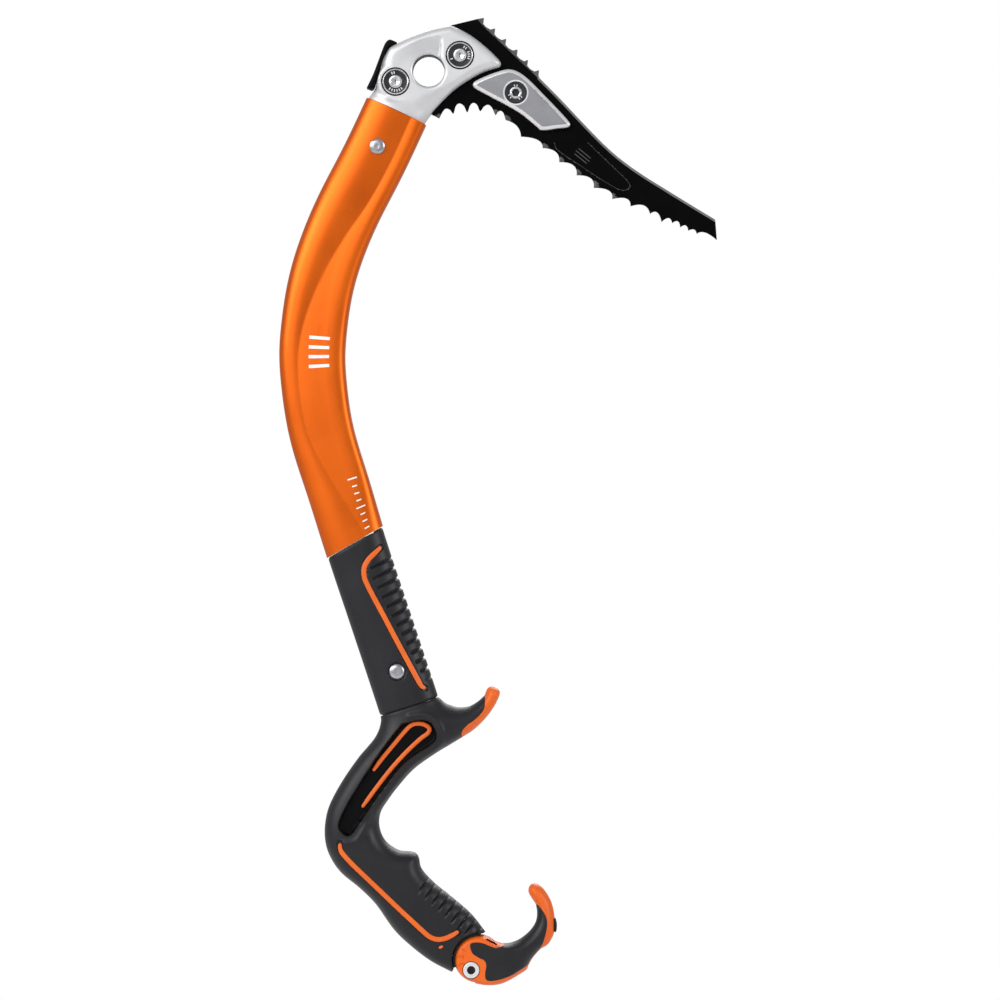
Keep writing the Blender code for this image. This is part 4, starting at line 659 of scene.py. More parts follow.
def make_head():
    """The two faces over the outline, with an eye hole, then a slot for the pick and the strip."""
    seats = [round_loop(spot, r * MM, 72) for spot in (FRONT_BOLT, REAR_BOLT) for r in (7.30, 7.42)]
    chamfer = [round_loop(EYE, r * MM, 72) for r in (8.5, 8.8, 9.2, 9.6)]
    riser = [straight((x, 9.8 * MM), (x, 18.0 * MM), 0.6 * MM) for x in np.linspace(*RISER, 5)]
    flat, tris = fill(head_outline, 0.75 * MM * COARSE, [round_loop(EYE, HEAD_EYE, 96)],
                      [joined(ring) for ring in seats + chamfer] + riser)
    depth = head_depth(flat)
    verts, faces = raise_faces(flat, tris, depth, depth)
    middle = face_spots(verts, faces)
    # Painted shade: the head's faces round the bolt seats and on the eye's wall take the dark material, for
    # the shadow in the counterbores and inside the eye.
    dark = np.min([off_centre(middle, spot) for spot in (FRONT_BOLT, REAR_BOLT)], axis=0) < 7.41 * MM
    dark |= off_centre(middle, EYE) < PICK_EYE
    head = mesh_piece("forged_head", verts, faces, [forged, dark_steel_and_painted_shade], "axe", "forged_aluminium", 38,
                      dark.astype(int))
    floor = SEAM_REAR + 5.4 * MM * seam_rise
    corners = [(0.08, 0.0), (0.08, 0.08), (-0.02, 0.08), (-0.02, 0.0)]
    slot = np.array([floor + a * seam_aim + b * seam_rise for a, b in corners])
    return cut_away(head, plate_tool(slot, -SLOT_HALF, SLOT_HALF))


forged_head = make_head()
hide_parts("head")

# %% [markdown]
# ## The pick
# The pick is cut from four-millimetre plate and its teeth are ground thinner from both faces.  The
# grinding shows as grey bare steel against the black coat, so each face takes its material from where
# it lies: above the ground line of the teeth, in a bite, along the ridge or on the panel's line.
# %% Toothed plate with ground bevels
WEIGHT_SPOT = upright([(45.0, -11.2)])[0]
top_tips = upright([(28.6, 27.9), (34.4, 22.5), (40.1, 17.1), (46.0, 11.5), (51.4, 6.2), (57.1, 0.9)])
notch = upright([(0.0, 0.0), (-0.4, -3.1), (1.0, -4.7), (3.3, -6.1)])
top_teeth = (top_tips[:-1, None] + notch[None]).reshape(-1, 2)
pick_top = np.vstack([upright([(11.1, 23.9), (25.1, 27.3)]), top_teeth, top_tips[-1:],
                      upright([(56.8, -2.0), (57.4, -3.4)])])
pick_ridge = bent(upright([(57.4, -3.4), (68.4, -14.5), (80.1, -26.9), (90.8, -37.8), (99.6, -45.5),
                           (110.5, -53.3), (123.0, -61.1), (135.5, -68.8), (148.2, -76.5)]), 0.7 * MM)
pick_nose = upright([(148.2, -76.5), (149.0, -86.9), (142.6, -82.1), (138.7, -83.8), (137.6, -80.9),
                     (134.3, -82.1), (133.3, -78.6), (130.1, -80.4), (129.3, -76.4), (126.0, -78.2),
                     (124.5, -74.6), (120.5, -77.6), (118.5, -71.5), (114.5, -73.4), (112.0, -68.0),
                     (104.4, -69.5), (103.4, -64.6), (94.9, -65.7), (94.4, -60.7), (85.3, -59.9),
                     (84.9, -54.2), (76.5, -53.4), (75.8, -47.4), (67.5, -46.6), (66.7, -40.6),
                     (58.9, -39.3), (57.6, -34.6), (47.7, -33.4), (46.3, -27.4), (39.8, -24.8)])
gullets = upright([(39.8, -24.8), (38.6, -21.2), (37.1, -20.0), (35.6, -20.8), (34.5, -22.2),
                   (32.8, -18.6), (30.8, -16.9), (28.6, -17.8), (26.6, -20.2), (25.0, -17.0),
                   (23.1, -15.9), (21.4, -17.2), (19.9, -20.8), (18.2, -17.6), (15.9, -16.2),
                   (14.0, -17.6), (12.7, -21.5), (11.0, -19.6), (9.0, -18.9), (7.4, -20.2), (5.4, -24.0)])
pick_shank = np.vstack([gullets[-1:], upright([(-19.0, -11.6), (-19.5, 4.0), (-13.0, 13.2),
                                               (-6.0, 17.6), (11.1, 23.9)])])


def scalloped(rows):
    """Tooth tips joined by bent bites: (1-t)^2 tip + 2t(1-t) pushed corner + t^2 next tip."""
    tips, corners = rows[0::2], rows[1::2]
    pushed = corners + 0.42 * (corners - (tips[:-1] + tips[1:]) / 2)
    t = np.linspace(0.0, 1.0, 15, endpoint=False)[None, :, None]
    bites = ((1 - t) ** 2 * tips[:-1, None] + 2 * t * (1 - t) * pushed[:, None] + t ** 2 * tips[1:, None])
    return np.vstack([bites.reshape(-1, 2), tips[-1:]])


def toothed(corners, pitch, rounding):
    """Straight runs between corners, each corner replaced by a short curve for the cutter's radius."""
    steps = [evenly(corners[k:k + 2], pitch) for k in range(len(corners) - 1)]
    run = np.vstack([*[s[:-1] for s in steps], corners[-1:]])
    soft = run.copy()
    for _ in range(rounding):
        soft[1:-1] = (soft[:-2] + 2 * soft[1:-1] + soft[2:]) / 4
    return soft


pick_outline = loop_of(toothed(pick_top, 0.35 * MM, 1), pick_ridge, toothed(pick_nose[:2], 0.5 * MM, 0),
                       scalloped(pick_nose[1:]),
                       bent(gullets, 0.4 * MM), toothed(pick_shank, 1.5 * MM, 0))
top_line = upright([(18.0, 34.0), (25.1, 27.2), (28.4, 23.3), (31.6, 20.3), (37.6, 14.7), (43.1, 9.4),
                    (48.7, 4.1), (54.4, -1.2), (57.6, -4.2), (68.0, -15.4)])
tooth_line = bent(upright([(5.0, -14.5), (20.0, -11.0), (34.0, -14.5), (48.0, -24.5), (58.0, -32.0),
                           (67.0, -38.2), (76.0, -44.8), (85.0, -51.6), (95.0, -57.5), (104.0, -61.6),
                           (112.0, -65.0), (119.0, -68.6), (127.0, -72.8), (135.0, -76.4), (150.0, -80.0)]),
                  1.0 * MM)
panel = bent(upright([(64.9, -36.7), (66.8, -40.6), (78.0, -48.4), (91.3, -57.1), (99.2, -61.2),
                      (103.6, -60.3), (102.8, -56.6), (92.0, -46.0), (82.0, -36.4)]))


def beside(path, off):
    """The path moved sideways by a length."""
    aim = headings(path)
    return path + off * np.column_stack([-aim[:, 1], aim[:, 0]])


def beyond(points, line):
    """True on the outer side of a line that runs towards the tip: the side away from the pick's middle."""
    a, b = line[:-1], line[1:]
    nearest = np.argmin(((points[:, None, :] - (a + b)[None] / 2) ** 2).sum(axis=2), axis=1)
    aim, off = (b - a)[nearest], points - a[nearest]
    return aim[:, 0] * off[:, 1] - aim[:, 1] * off[:, 0]


def pick_depth(points):
    """Two millimetres, less a chamfer at the edge, the ground teeth and a shallow panel."""
    rim = gap_to(points, pick_outline, True)
    depth = 2.0 * MM - 0.45 * MM * (1.0 - np.clip(rim / (0.5 * MM), 0.0, 1.0))
    above = beyond(points, evenly(top_line, 2.0 * MM))
    below = -beyond(points, tooth_line)
    ground = np.clip(above / (3.0 * MM), 0.0, 1.0) * (points[:, 0] > 24 * MM)
    ground = np.maximum(ground, 0.5 * np.clip(below / (5.0 * MM), 0.0, 1.0))
    depth -= 0.9 * MM * ground
    inner = within(points, panel)
    return depth - 0.22 * MM * inner * ease(gap_to(points, joined(panel)), 0.0, 0.5 * MM)


bite_tips = upright([(5.5, -24.1), (34.5, -21.9), (40.0, -24.8), (59.6, -39.3), (67.8, -46.4),
                     (76.4, -52.6), (85.5, -58.7), (94.7, -65.1)])
RIDGE_BAND, SCRIBED_HALF, BITE = 1.15 * MM, 0.16 * MM, 2.3 * MM


def inside_rows(line, gap):
    """The two lines beside a line, each cut to where it lies well inside the plate."""
    rows = [beside(line, side * gap) for side in (-1.0, 1.0)]
    kept = [row[within(row, pick_outline) & (gap_to(row, pick_outline, True) > 0.4 * MM)] for row in rows]
    return [row for row in kept if len(row) > 1]


def make_pick():
    """Plate with its own eye; ground bands, the ridge bevel and the panel's line are bare steel."""
    edge = joined(panel)
    panel_rows = [edge, beside(edge, SCRIBED_HALF), evenly(top_line, 0.6 * MM)]
    panel_rows += inside_rows(evenly(pick_ridge, 0.7 * MM), RIDGE_BAND)
    flat, tris = fill(pick_outline, 0.8 * MM * COARSE, [round_loop(EYE, PICK_EYE, 72)], panel_rows)
    depth = pick_depth(flat)
    verts, faces = raise_faces(flat, tris, depth, depth)
    middle = face_spots(verts, faces)
    above = beyond(middle, evenly(top_line, 2.0 * MM)) > 0.0
    teeth = above & (middle[:, 0] > 25 * MM) & (middle[:, 0] < 58.5 * MM)
    ridge = (middle[:, 0] > 55 * MM) & (gap_to(middle, pick_ridge) < RIDGE_BAND)
    bite = np.min([off_centre(middle, tip) for tip in bite_tips], axis=0) < BITE
    scribed = gap_to(middle, panel) < SCRIBED_HALF
    kinds = np.where(ridge, 2, np.where(scribed, 3, (teeth | bite).astype(int)))
    return mesh_piece("toothed_pick", verts, faces, [black_steel, ground_steel, bare_steel, scribed_steel],
                      "axe", "black_steel", 24, kinds)


toothed_pick = make_pick()
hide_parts("pick")

# %% [markdown]
# ## Strip, weights and other small plates
# The slot is closed at the back by a black strip that hooks over the head.  Two weight plates sit
# against the pick.  All are plates with a rounded or chamfered rim, so one maker serves them.
# %% Plates with a rim
def rimmed(name, outline, low, high, reach, mats, slot, body="axe", pitch=0.9 * MM, power=2.0,
           rim_highlight_band=0.0, dip=None):
    """Plate from y = low to y = high whose outer edge falls over the reach; the rim band, and a ring round
    the dip, take mats[1], a painted highlight on their bevels.
    """
    rings = [] if dip is None else [round_loop(dip[0], dip[1] + d * MM, 64) for d in (0, 0.12, 0.87)]
    rows = [joined(ring) for ring in rings]
    flat, tris = fill(outline, pitch * COARSE, (), rows)
    share = crown(gap_to(flat, outline, True) / reach, power)
    fall = np.minimum(reach, 0.5 * (high - low)) * 0.9 * (1.0 - share)
    near, far = -low - fall * (low < 0), high - fall * (high > 0)
    if dip is not None:
        seat = off_centre(flat, dip[0]) < dip[1] + 0.06 * MM
        near = np.where(seat & (low < -3 * MM), -low - dip[2], near)
        far = np.where(seat & (high > 3 * MM), high - dip[2], far)
    verts, faces = raise_faces(flat, tris, near, far)
    kinds = None
    if rim_highlight_band:
        middle = face_spots(verts, faces)
        # Painted highlight: faces along the rim, and a ring round the dip's edge, take mats[1].
        kinds = (gap_to(middle, outline, True) < rim_highlight_band).astype(int)
        if dip is not None:
            kinds |= (np.abs(off_centre(middle, dip[0]) - dip[1] - 0.45 * MM) < 0.42 * MM).astype(int)
    return mesh_piece(name, verts, faces, mats, body, slot, 34, kinds)


strip_outer = bent(upright([(-16.4, 14.9), (-18.6, 15.9), (-20.6, 16.2), (-22.7, 13.9), (-25.1, 7.8),
                            (-28.7, -1.7), (-32.0, -8.6)]))
strip_inner = bent(upright([(-32.0, -8.6), (-28.6, -8.9), (-26.1, -1.7), (-23.9, 5.9), (-22.1, 10.2),
                            (-20.3, 12.7), (-17.6, 14.0), (-16.4, 14.9)]))
rear_strip = rimmed("rear_strip", loop_of(strip_outer, strip_inner), -6.8 * MM, 6.8 * MM, 1.4 * MM,
                    [strip_black_and_pocket_shade], "black_plastic", pitch=0.8 * MM)
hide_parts("rear_spacer")
weight_loop = loop_of(bent(upright([(22.7, -7.2), (24.0, -5.3), (29.6, -2.6), (35.9, -0.3), (41.6, 0.9),
                                    (47.0, -0.9), (52.3, -5.0), (58.6, -11.4), (65.5, -18.5), (71.3, -24.8),
                                    (73.1, -27.5), (71.6, -29.0), (66.5, -29.6), (58.6, -30.4),
                                    (55.6, -28.4), (48.0, -22.2), (39.6, -17.2), (32.2, -13.3),
                                    (24.3, -9.0), (22.7, -7.2)])))
for side, low, high in (("near", -7.0, -2.3), ("far", 2.3, 7.0)):
    plate = rimmed(f"weight_plate_{side}", weight_loop, low * MM, high * MM, 1.5 * MM,
                   [plate_grey, light_ticks_and_rim_highlight], "plated_weight", rim_highlight_band=1.55 * MM, power=1.25,
                   dip=(WEIGHT_SPOT, 5.7 * MM, 1.5 * MM))
    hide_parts(f"weight_{side}")

# %% [markdown]
# ## Bolts, rivets and screws
# Each is turned on a lathe and most have a six-sided socket.  A profile is carried round a line that
# runs across the axe; a hexness value pulls the ring from round to six-sided, so the socket is part of
# the same closed surface.
# %% The lathe
def turned(name, centre, side, rows, mats, slot, kinds=None, body="axe", count=96, smooth=30):
    """Ring radius r, times the six-sided factor cos(30) / cos(angle from a flat) where hexness is 1."""
    rows = np.array(rows, float)
    angle = np.arange(count) * 2 * math.pi / count
    flat = np.mod(angle, math.pi / 3) - math.pi / 6
    six = math.cos(math.pi / 6) / np.cos(flat)
    ring = rows[:, 0:1] * MM * (1.0 + rows[:, 2:3] * (six[None, :] - 1.0))
    x = centre[0] + ring * np.cos(angle)[None, :]
    z = centre[1] + ring * np.sin(angle)[None, :]
    y = np.broadcast_to(side * rows[:, 1:2] * MM, x.shape)
    verts = np.stack([x, y, z], axis=-1).reshape(-1, 3)
    bands = None if kinds is None else np.repeat(np.array(kinds), count)
    return mesh_piece(name, verts, tube_faces(len(rows), count), mats, body, slot, smooth, bands)


bolt_rows = [(0, 2.2, 0), (3.1, 2.2, 0), (3.1, 7.2, 0), (6.5, 7.2, 0), (6.72, 7.4, 0), (6.75, 8.7, 0),
             (6.6, 9.1, 0), (6.35, 9.3, 0), (6.1, 9.3, 0), (5.95, 9.1, 0), (5.8, 9.05, 0),
             (3.55, 9.05, 0), (3.35, 9.2, 0), (3.1, 9.5, 0), (2.8, 9.6, 0), (2.1, 9.62, 0),
             (1.95, 9.5, 1), (1.75, 8.9, 1), (0.6, 8.7, 0), (0, 8.65, 0)]
bolt_kinds = [0, 0, 0, 0, 0, 0, 0, 0, 0, 1, 1, 1, 0, 0, 0, 0, 0, 0, 0]
for label, spot in (("front", FRONT_BOLT), ("rear", REAR_BOLT)):
    bolt = turned(f"{label}_flanged_bolt", spot, -1, bolt_rows, [bright_steel, dark_steel_and_painted_shade], "bolt_steel",
                  bolt_kinds)
    nut = turned(f"{label}_flanged_nut", spot, 1, bolt_rows, [bright_steel, dark_steel_and_painted_shade], "bolt_steel",
                 bolt_kinds)
    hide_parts(f"{label}_bolt")
    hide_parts(f"{label}_nut")


def bars(name, rows, level, mats, body="axe", slot="bolt_steel"):
    """Thin closed bars on a plane across y; a row is x, z, angle, length, width in millimetres."""
    x, z, angle, size, wide = np.array(rows, float).T
    corner = np.array([(-1, -1), (1, -1), (1, 1), (-1, 1)]) / 2.0
    u, v = corner[None, :, 0] * size[:, None], corner[None, :, 1] * wide[:, None]
    cx = (x[:, None] + u * np.cos(angle)[:, None] - v * np.sin(angle)[:, None]) * MM
    cz = (z[:, None] + u * np.sin(angle)[:, None] + v * np.cos(angle)[:, None]) * MM
    tops = [np.stack([cx, np.full(cx.shape, y * MM), cz], axis=-1) for y in (level, level + 0.25)]
    verts = np.concatenate(tops, axis=1).reshape(-1, 3)
    box = np.array([(0, 1, 2, 3), (7, 6, 5, 4), (0, 4, 5, 1), (1, 5, 6, 2), (2, 6, 7, 3), (3, 7, 4, 0)])
    faces = (np.arange(len(rows))[:, None, None] * 8 + box[None]).reshape(-1, 4)
    return mesh_piece(name, verts, faces, mats, body, slot, 20)


def tick_ring(centre, radius, angles, size, wide):
    """Ticks that point at the centre, one at each angle."""
    return [(centre[0] / MM + radius * math.cos(a), centre[1] / MM + radius * math.sin(a), a, size, wide)
            for a in np.radians(angles)]


front_ticks = tick_ring(FRONT_BOLT, 4.7, [48, 62, 20, 6, -8, -22, 205], 1.3, 0.55)
rear_ticks = tick_ring(REAR_BOLT, 4.7, [98, 112, 232, 248, 264, 280, 296, 312], 1.3, 0.55)
bars("bolt_setting_ticks", front_ticks + rear_ticks, -9.13, [light_ticks_and_rim_highlight])
PICK_LEAN = math.radians(-39.0)
pick_marks = [(79.6 + 1.7 * k * math.sin(-PICK_LEAN), -43.6 + 1.7 * k * math.cos(PICK_LEAN), PICK_LEAN,
               9.0 - abs(k), 0.4) for k in (-1, 0, 1)]
bars("pick_marks", pick_marks, -1.86, [scribed_steel], slot="black_steel")
# Each slit is a thin dark bar on the bolt's end: painted shade standing in for the slot's hollow.
slits = [(spot[0] / MM, spot[1] / MM, math.pi / 2, 2.3, 0.45) for spot in (FRONT_BOLT, REAR_BOLT)]
bars("bolt_key_slits", slits, -8.85, [dark_steel_and_painted_shade])

screw_rows = [(0, 1.0, 0), (3.0, 1.0, 0), (3.0, 5.4, 0), (5.2, 5.4, 0), (5.4, 5.7, 0), (5.4, 6.6, 0),
              (5.1, 6.9, 0), (4.6, 6.85, 0), (3.1, 6.8, 0), (2.9, 7.0, 0), (2.6, 7.05, 0), (2.3, 7.05, 0),
              (2.15, 6.9, 1), (2.1, 5.9, 1), (0, 5.7, 0)]
screw_kinds = [1, 1, 1, 1, 1, 1, 1, 1, 0, 0, 0, 0, 1, 1]
weight_ticks = tick_ring(WEIGHT_SPOT, 3.7, [80, 100, 200, 225, 300, 322], 0.9, 0.5)
bars("weight_screw_ticks", weight_ticks, -6.93, [light_ticks_and_rim_highlight])
weight_screw = turned("weight_cap_screw", WEIGHT_SPOT, -1, screw_rows, [bright_steel, dark_steel_and_painted_shade],
                      "black_steel", screw_kinds)
weight_nut = turned("weight_round_nut", WEIGHT_SPOT, 1, screw_rows, [bright_steel, dark_steel_and_painted_shade],
                    "black_steel", screw_kinds)
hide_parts("weight_screw")
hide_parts("weight_nut")


def dome(name, centre, base, radius, height):
    """Rivet head: a circle arc from middle to radius, dished in the middle by a bell, on both faces."""
    share = np.linspace(0.0, 1.0, 20)
    lift = base + height * (np.sqrt(1.0 - 0.985 * share ** 2) - 0.22 * np.exp(-(share / 0.42) ** 2))
    half = np.column_stack([radius * share, lift, np.zeros(20)])
    rows = np.vstack([half, [(radius, base - 0.4, 0), (2.5, base - 0.5, 0)],
                      [(2.5, 0.5 - base, 0), (radius, 0.4 - base, 0)], half[::-1] * [1, -1, 1]])
    return turned(name, centre, -1, rows, [rivet_steel], "bolt_steel", None, "axe", 64, 50)


head_rivet = dome("tube_rivet", upright([(-26.4, -39.2)])[0], 11.0, 4.1, 1.6)
GRIP_RIVET = upright([(-16.3, -309.9)])[0]
grip_rivet = dome("grip_rivet", GRIP_RIVET, 10.2, 4.2, 1.7)
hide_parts("head_rivet")
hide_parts("handle_rivet")

# %% [markdown]
# ## The upper grip
# A rubber sleeve on the tube, ribbed where the fingers lie.  It is the same grid as the tube with three
# small things pressed in: rounded ribs, a groove for the orange inlay, and a window round the rivet.
# %% Ribbed sleeve
grip_inlay = bent(leaned([(12.0, 82.9), (8.4, 81.1), (4.1, 78.9), (0.6, 75.7), (-0.9, 71.5),
                          (-0.9, 67.4), (0.1, 60.7), (2.1, 49.6), (4.8, 33.6), (7.1, 20.8), (8.8, 11.5),
                          (9.6, 8.0), (11.2, 6.5)]), 0.4 * MM)
grip_side, grip_up = unleaned(grip_inlay).T


RIB_PITCH, RIB_MIDDLE = 5.45, 2.72


def rib_drop(side, up):
    """Narrow grooves one pitch apart, tilted a little, between the inlay and the front edge."""
    start = np.interp(up, grip_up[::-1], grip_side[::-1]) + 2.6
    phase = np.mod(up - 0.18 * (side - 8.0) - 12.0, RIB_PITCH)
    groove = np.exp(-((phase - RIB_MIDDLE) / 0.62) ** 2)
    swell = np.cos((phase - RIB_MIDDLE) / RIB_PITCH * 2 * math.pi) * 0.18
    mask = ease(side, start, start + 1.8) * ease(up, 9.5, 12.0) * (1 - ease(up, 74.5, 77.5))
    return (0.95 * groove + swell) * mask


def grip_field(x, z, depth_share):
    """Millimetres pressed in at a point of the sleeve: the deepest of rib, inlay trench and window."""
    shape = x.shape
    points = np.column_stack([x.ravel(), z.ravel()])
    side, up = unleaned(points).T
    drop = rib_drop(side, up)
    face = np.clip(np.abs(depth_share).ravel() * 2.4 - 0.5, 0.0, 1.0)
    trench = 1.0 - ease(gap_to(points, grip_inlay), 1.30 * MM, 1.62 * MM)
    window = 1.0 - ease(off_centre(points, GRIP_RIVET), 4.5 * MM, 5.0 * MM)
    drop = np.maximum(drop, 0.95 * trench * face)
    return (np.maximum(drop, 1.5 * window * face)).reshape(shape)


def make_grip():
    """Grid of run by angle, pressed in along its own section, closed inside by a smaller tube."""
    count, rows = ((240, 290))
    start = TUBE - GRIP_LENGTH
    run = np.linspace(start, TUBE - 0.25 * MM, rows)
    angle = np.arange(count) * 2 * math.pi / count
    across, deep = squared_ring(angle[None, :], 1.0, 1.0)
    middle, aim, front = along_tube(run)
    skew = GRIP_SKEW * (1.0 - ease(run, start, start + 16 * MM))[:, None]
    ends = np.minimum(run - start, TUBE - 0.25 * MM - run)
    lip = np.interp(ends, [0.0, 0.25 * MM, 0.7 * MM, 1.4 * MM], [0.95, 0.45, 0.12, 0.0])[:, None]

    def place(wide, thick):
        reach = across * wide
        x = middle[:, 0:1] + reach * front[:, 0:1] - skew * reach * aim[:, 0:1]
        z = middle[:, 1:2] + reach * front[:, 1:2] - skew * reach * aim[:, 1:2]
        return x, np.broadcast_to(deep * thick, x.shape), z
    x, y, z = place(GRIP_WIDE, GRIP_DEEP)
    press = (grip_field(x, z, np.broadcast_to(deep, x.shape)) + lip) * MM
    x, y, z = place(GRIP_WIDE - press, GRIP_DEEP - press)
    outer = np.stack([x, y, z], axis=-1)
    x, y, z = place(GRIP_WIDE - 1.7 * MM, GRIP_DEEP - 1.7 * MM)
    inner = np.stack([x, y, z], axis=-1)
    rings = np.concatenate([outer, inner[::-1], outer[:1]])
    return ring_piece("ribbed_sleeve", rings, [rubber], "axe", "black_rubber", 50)


ribbed_sleeve = make_grip()
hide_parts("upper_grip")


def grip_depth(points):
    """Half depth of the plain sleeve: deep * (1 - across^2.6)^(1/2.6)."""
    side = unleaned(points)[:, 0] - 0.1
    share = np.clip(1.0 - np.abs(side * MM / GRIP_WIDE) ** SQUARENESS, 0.02, 1.0)
    return GRIP_DEEP * share ** (1 / SQUARENESS)


# %% [markdown]
# ## Inlays
# The orange lines are strips let into the rubber.  A strip follows a path; its width tapers into round
# ends, its top is slightly crowned, and its height comes from the same depth function as the surface
# it lies in, so it stays flush all along.
# %% A crowned strip along a path
def strip_along(name, path, side, width, surface, sink, thick, mats, slot, body="axe", crowned=0.22):
    """Grid of path by width: half width w * sqrt(1 - (1 - end/w)^2) near the ends, top = surface - sink."""
    path = evenly(path, 0.4 * MM)
    aim = headings(path)
    normal = np.column_stack([-aim[:, 1], aim[:, 0]])
    run = lengths(path)
    end = np.minimum(run, run[-1] - run)
    narrow = np.interp(end, [0.0, 5 * MM], [0.72, 1.0]) * width / 2
    half = narrow * np.sqrt(np.clip(1.0 - (1.0 - np.minimum(end / narrow, 1.0)) ** 2, 0.02, 1.0))
    across = np.array([-1.0, -0.97, -0.85, -0.5, 0.0, 0.5, 0.85, 0.97, 1.0])
    place = path[:, None, :] + (half[:, None] * across[None])[:, :, None] * normal[:, None, :]
    flat = place.reshape(-1, 2)
    top = surface(flat).reshape(half.size, across.size) - sink
    top = top - crowned * MM * across[None] ** 4
    floor = np.broadcast_to((top - thick).min(axis=1)[:, None], top.shape)
    upper = np.stack([place[:, :, 0], side * top, place[:, :, 1]], axis=-1)
    lower = np.stack([place[:, ::-1, 0], side * floor, place[:, ::-1, 1]], axis=-1)
    rings = np.concatenate([upper, lower], axis=1)
    return ring_piece(name, capped(rings), mats, body, slot, 55)


for side, label in ((-1, "near"), (1, "far")):
    inlay = strip_along(f"grip_inlay_{label}", grip_inlay, side, 2.6 * MM, grip_depth, 0.12 * MM,
                        1.6 * MM, [inlay_orange], "orange_nylon")
    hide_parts(f"upper_inlay_{label}")

# %% [markdown]
# ## The crook handle
# One overmoulded body runs from the sleeve round the crook to the pommel, with an orange trigger tip.
# Skin and tip share one depth function, so they meet flush.  The skin then gets its deep side pocket
# with a raised lip, a groove for the lower inlay and slanting finger grooves.
# %% Handle outline and shared depth
rear_edge = bent(leaned([(-15.7, -0.4), (-16.4, -2.9), (-18.8, -6.8), (-22.5, -10.4), (-27.2, -13.4),
                         (-33.8, -17.5), (-44.8, -25.9), (-54.6, -35.2), (-59.9, -43.4), (-62.9, -52.4),
                         (-63.1, -61.0), (-60.3, -70.7), (-53.5, -81.6), (-48.2, -92.1), (-43.7, -106.6),
                         (-38.4, -117.0), (-30.7, -128.3), (-21.9, -137.5)]))
front_edge = bent(leaned([(1.2, -123.1), (-3.2, -111.5), (-10.7, -99.2), (-16.2, -90.6), (-20.0, -82.0),
                          (-19.6, -76.3), (-20.4, -73.4), (-22.9, -71.6), (-28.4, -69.0), (-33.2, -62.7),
                          (-34.1, -55.1), (-31.4, -48.0), (-25.6, -42.8), (-17.1, -36.9), (-7.2, -31.4),
                          (5.2, -27.5), (14.2, -25.4), (21.0, -23.8)]))
split_edge = bent(leaned([(21.0, -23.8), (22.0, -20.6), (25.6, -18.3), (29.4, -17.1), (33.3, -15.4),
                          (36.7, -12.7), (38.4, -8.6), (38.8, -6.8)]), 0.4 * MM)
trigger_top = bent(leaned([(38.8, -6.8), (34.7, -8.6), (29.4, -9.7), (23.9, -8.4), (20.5, -6.2),
                           (18.2, -4.1), (15.9, -0.4)]))
tip_edge = bent(leaned([(21.0, -23.8), (27.8, -22.0), (34.2, -19.0), (38.9, -16.0), (42.9, -12.7),
                        (46.3, -8.8), (46.6, -6.2), (43.8, -3.6), (41.2, -4.0), (38.8, -6.8)]), 0.4 * MM)
HUB, DISC, SEAT_GAP = HINGE * MM, 12.4 * MM, 1.1 * MM


def bearing(point):
    """Angle at which a point lies from the hinge."""
    return math.atan2(point[1] - HUB[1], point[0] - HUB[0])


def hub_ring(radius, start, stop, count):
    """Part of a circle round the hinge, from one angle to another."""
    angle = np.linspace(start, stop, count)
    return HUB + radius * np.column_stack([np.cos(angle), np.sin(angle)])


def seat_arc():
    """Hollow end of the handle: part of a circle 1.1 mm outside the pommel's disc."""
    start, stop = bearing(rear_edge[-1]) % (2 * math.pi), bearing(front_edge[0])
    ring = hub_ring(DISC + SEAT_GAP, start - 0.10, stop + 0.08, 60)
    return evenly(np.vstack([rear_edge[-1:], ring, front_edge[:1]]), 0.5 * MM)


hollow_seat = seat_arc()
top_seam = straight(*leaned([(15.9, -0.4), (-15.7, -0.4)]))
above_seam = [straight(*leaned([(s, -0.4), (s, 26.0)])) for s in (15.9, -15.7)]
handle_rails = [rear_edge, front_edge, tip_edge, trigger_top, *above_seam]
TRIGGER_END = leaned([(44.0, -8.0)])[0]


def handle_shell(points):
    """Smooth half depth before any detail: height and rounding change with place, crown on soft gap."""
    tip, hub = off_centre(points, TRIGGER_END), off_centre(points, HUB)
    up = unleaned(points)[:, 1]
    start = ease(-up, 0.0, 15.0)
    full = GRIP_DEEP + 1.0 * MM * start
    full = full - (full - 8.0 * MM) * (1 - ease(tip, 0 * MM, 36 * MM))
    full = full - (full - 10.2 * MM) * (1 - ease(hub, 10 * MM, 46 * MM))
    radius = 15.8 * MM + (10.0 * MM - 15.8 * MM) * ease(-up, 0.0, 17.0)
    radius = radius - (radius - 5.4 * MM) * (1 - ease(tip, 0 * MM, 34 * MM))
    return full * crown(soft_gap(points, handle_rails) / radius, 2.35)


# %% [markdown]
# ## What is pressed into the handle
# Each detail is a drop or a swell measured along or away from a line: the pocket falls steeply from its
# rim to a flat floor, the lip is a low bell along one side of it, and a finger groove is a narrow valley
# that fades at its inner end.
# %% Pocket, lip, grooves
pocket_loop = bent(leaned([(-6.2, -6.7), (3.5, -7.6), (8.6, -10.9), (9.7, -16.6), (6.4, -22.0),
                           (-10.9, -27.3), (-27.5, -38.2), (-43.0, -49.8), (-48.8, -53.8), (-52.6, -52.2),
                           (-53.8, -46.4), (-46.8, -38.1), (-36.5, -29.1), (-23.7, -18.7), (-13.5, -11.4),
                           (-6.2, -6.7)]), 0.4 * MM)[:-1]
lip_line = bent(leaned([(-1.0, -4.6), (7.0, -6.4), (11.8, -11.6), (12.0, -18.6), (8.0, -24.4),
                        (-9.0, -30.0), (-25.8, -40.8), (-41.0, -52.4), (-47.5, -57.0), (-54.0, -56.2)]))
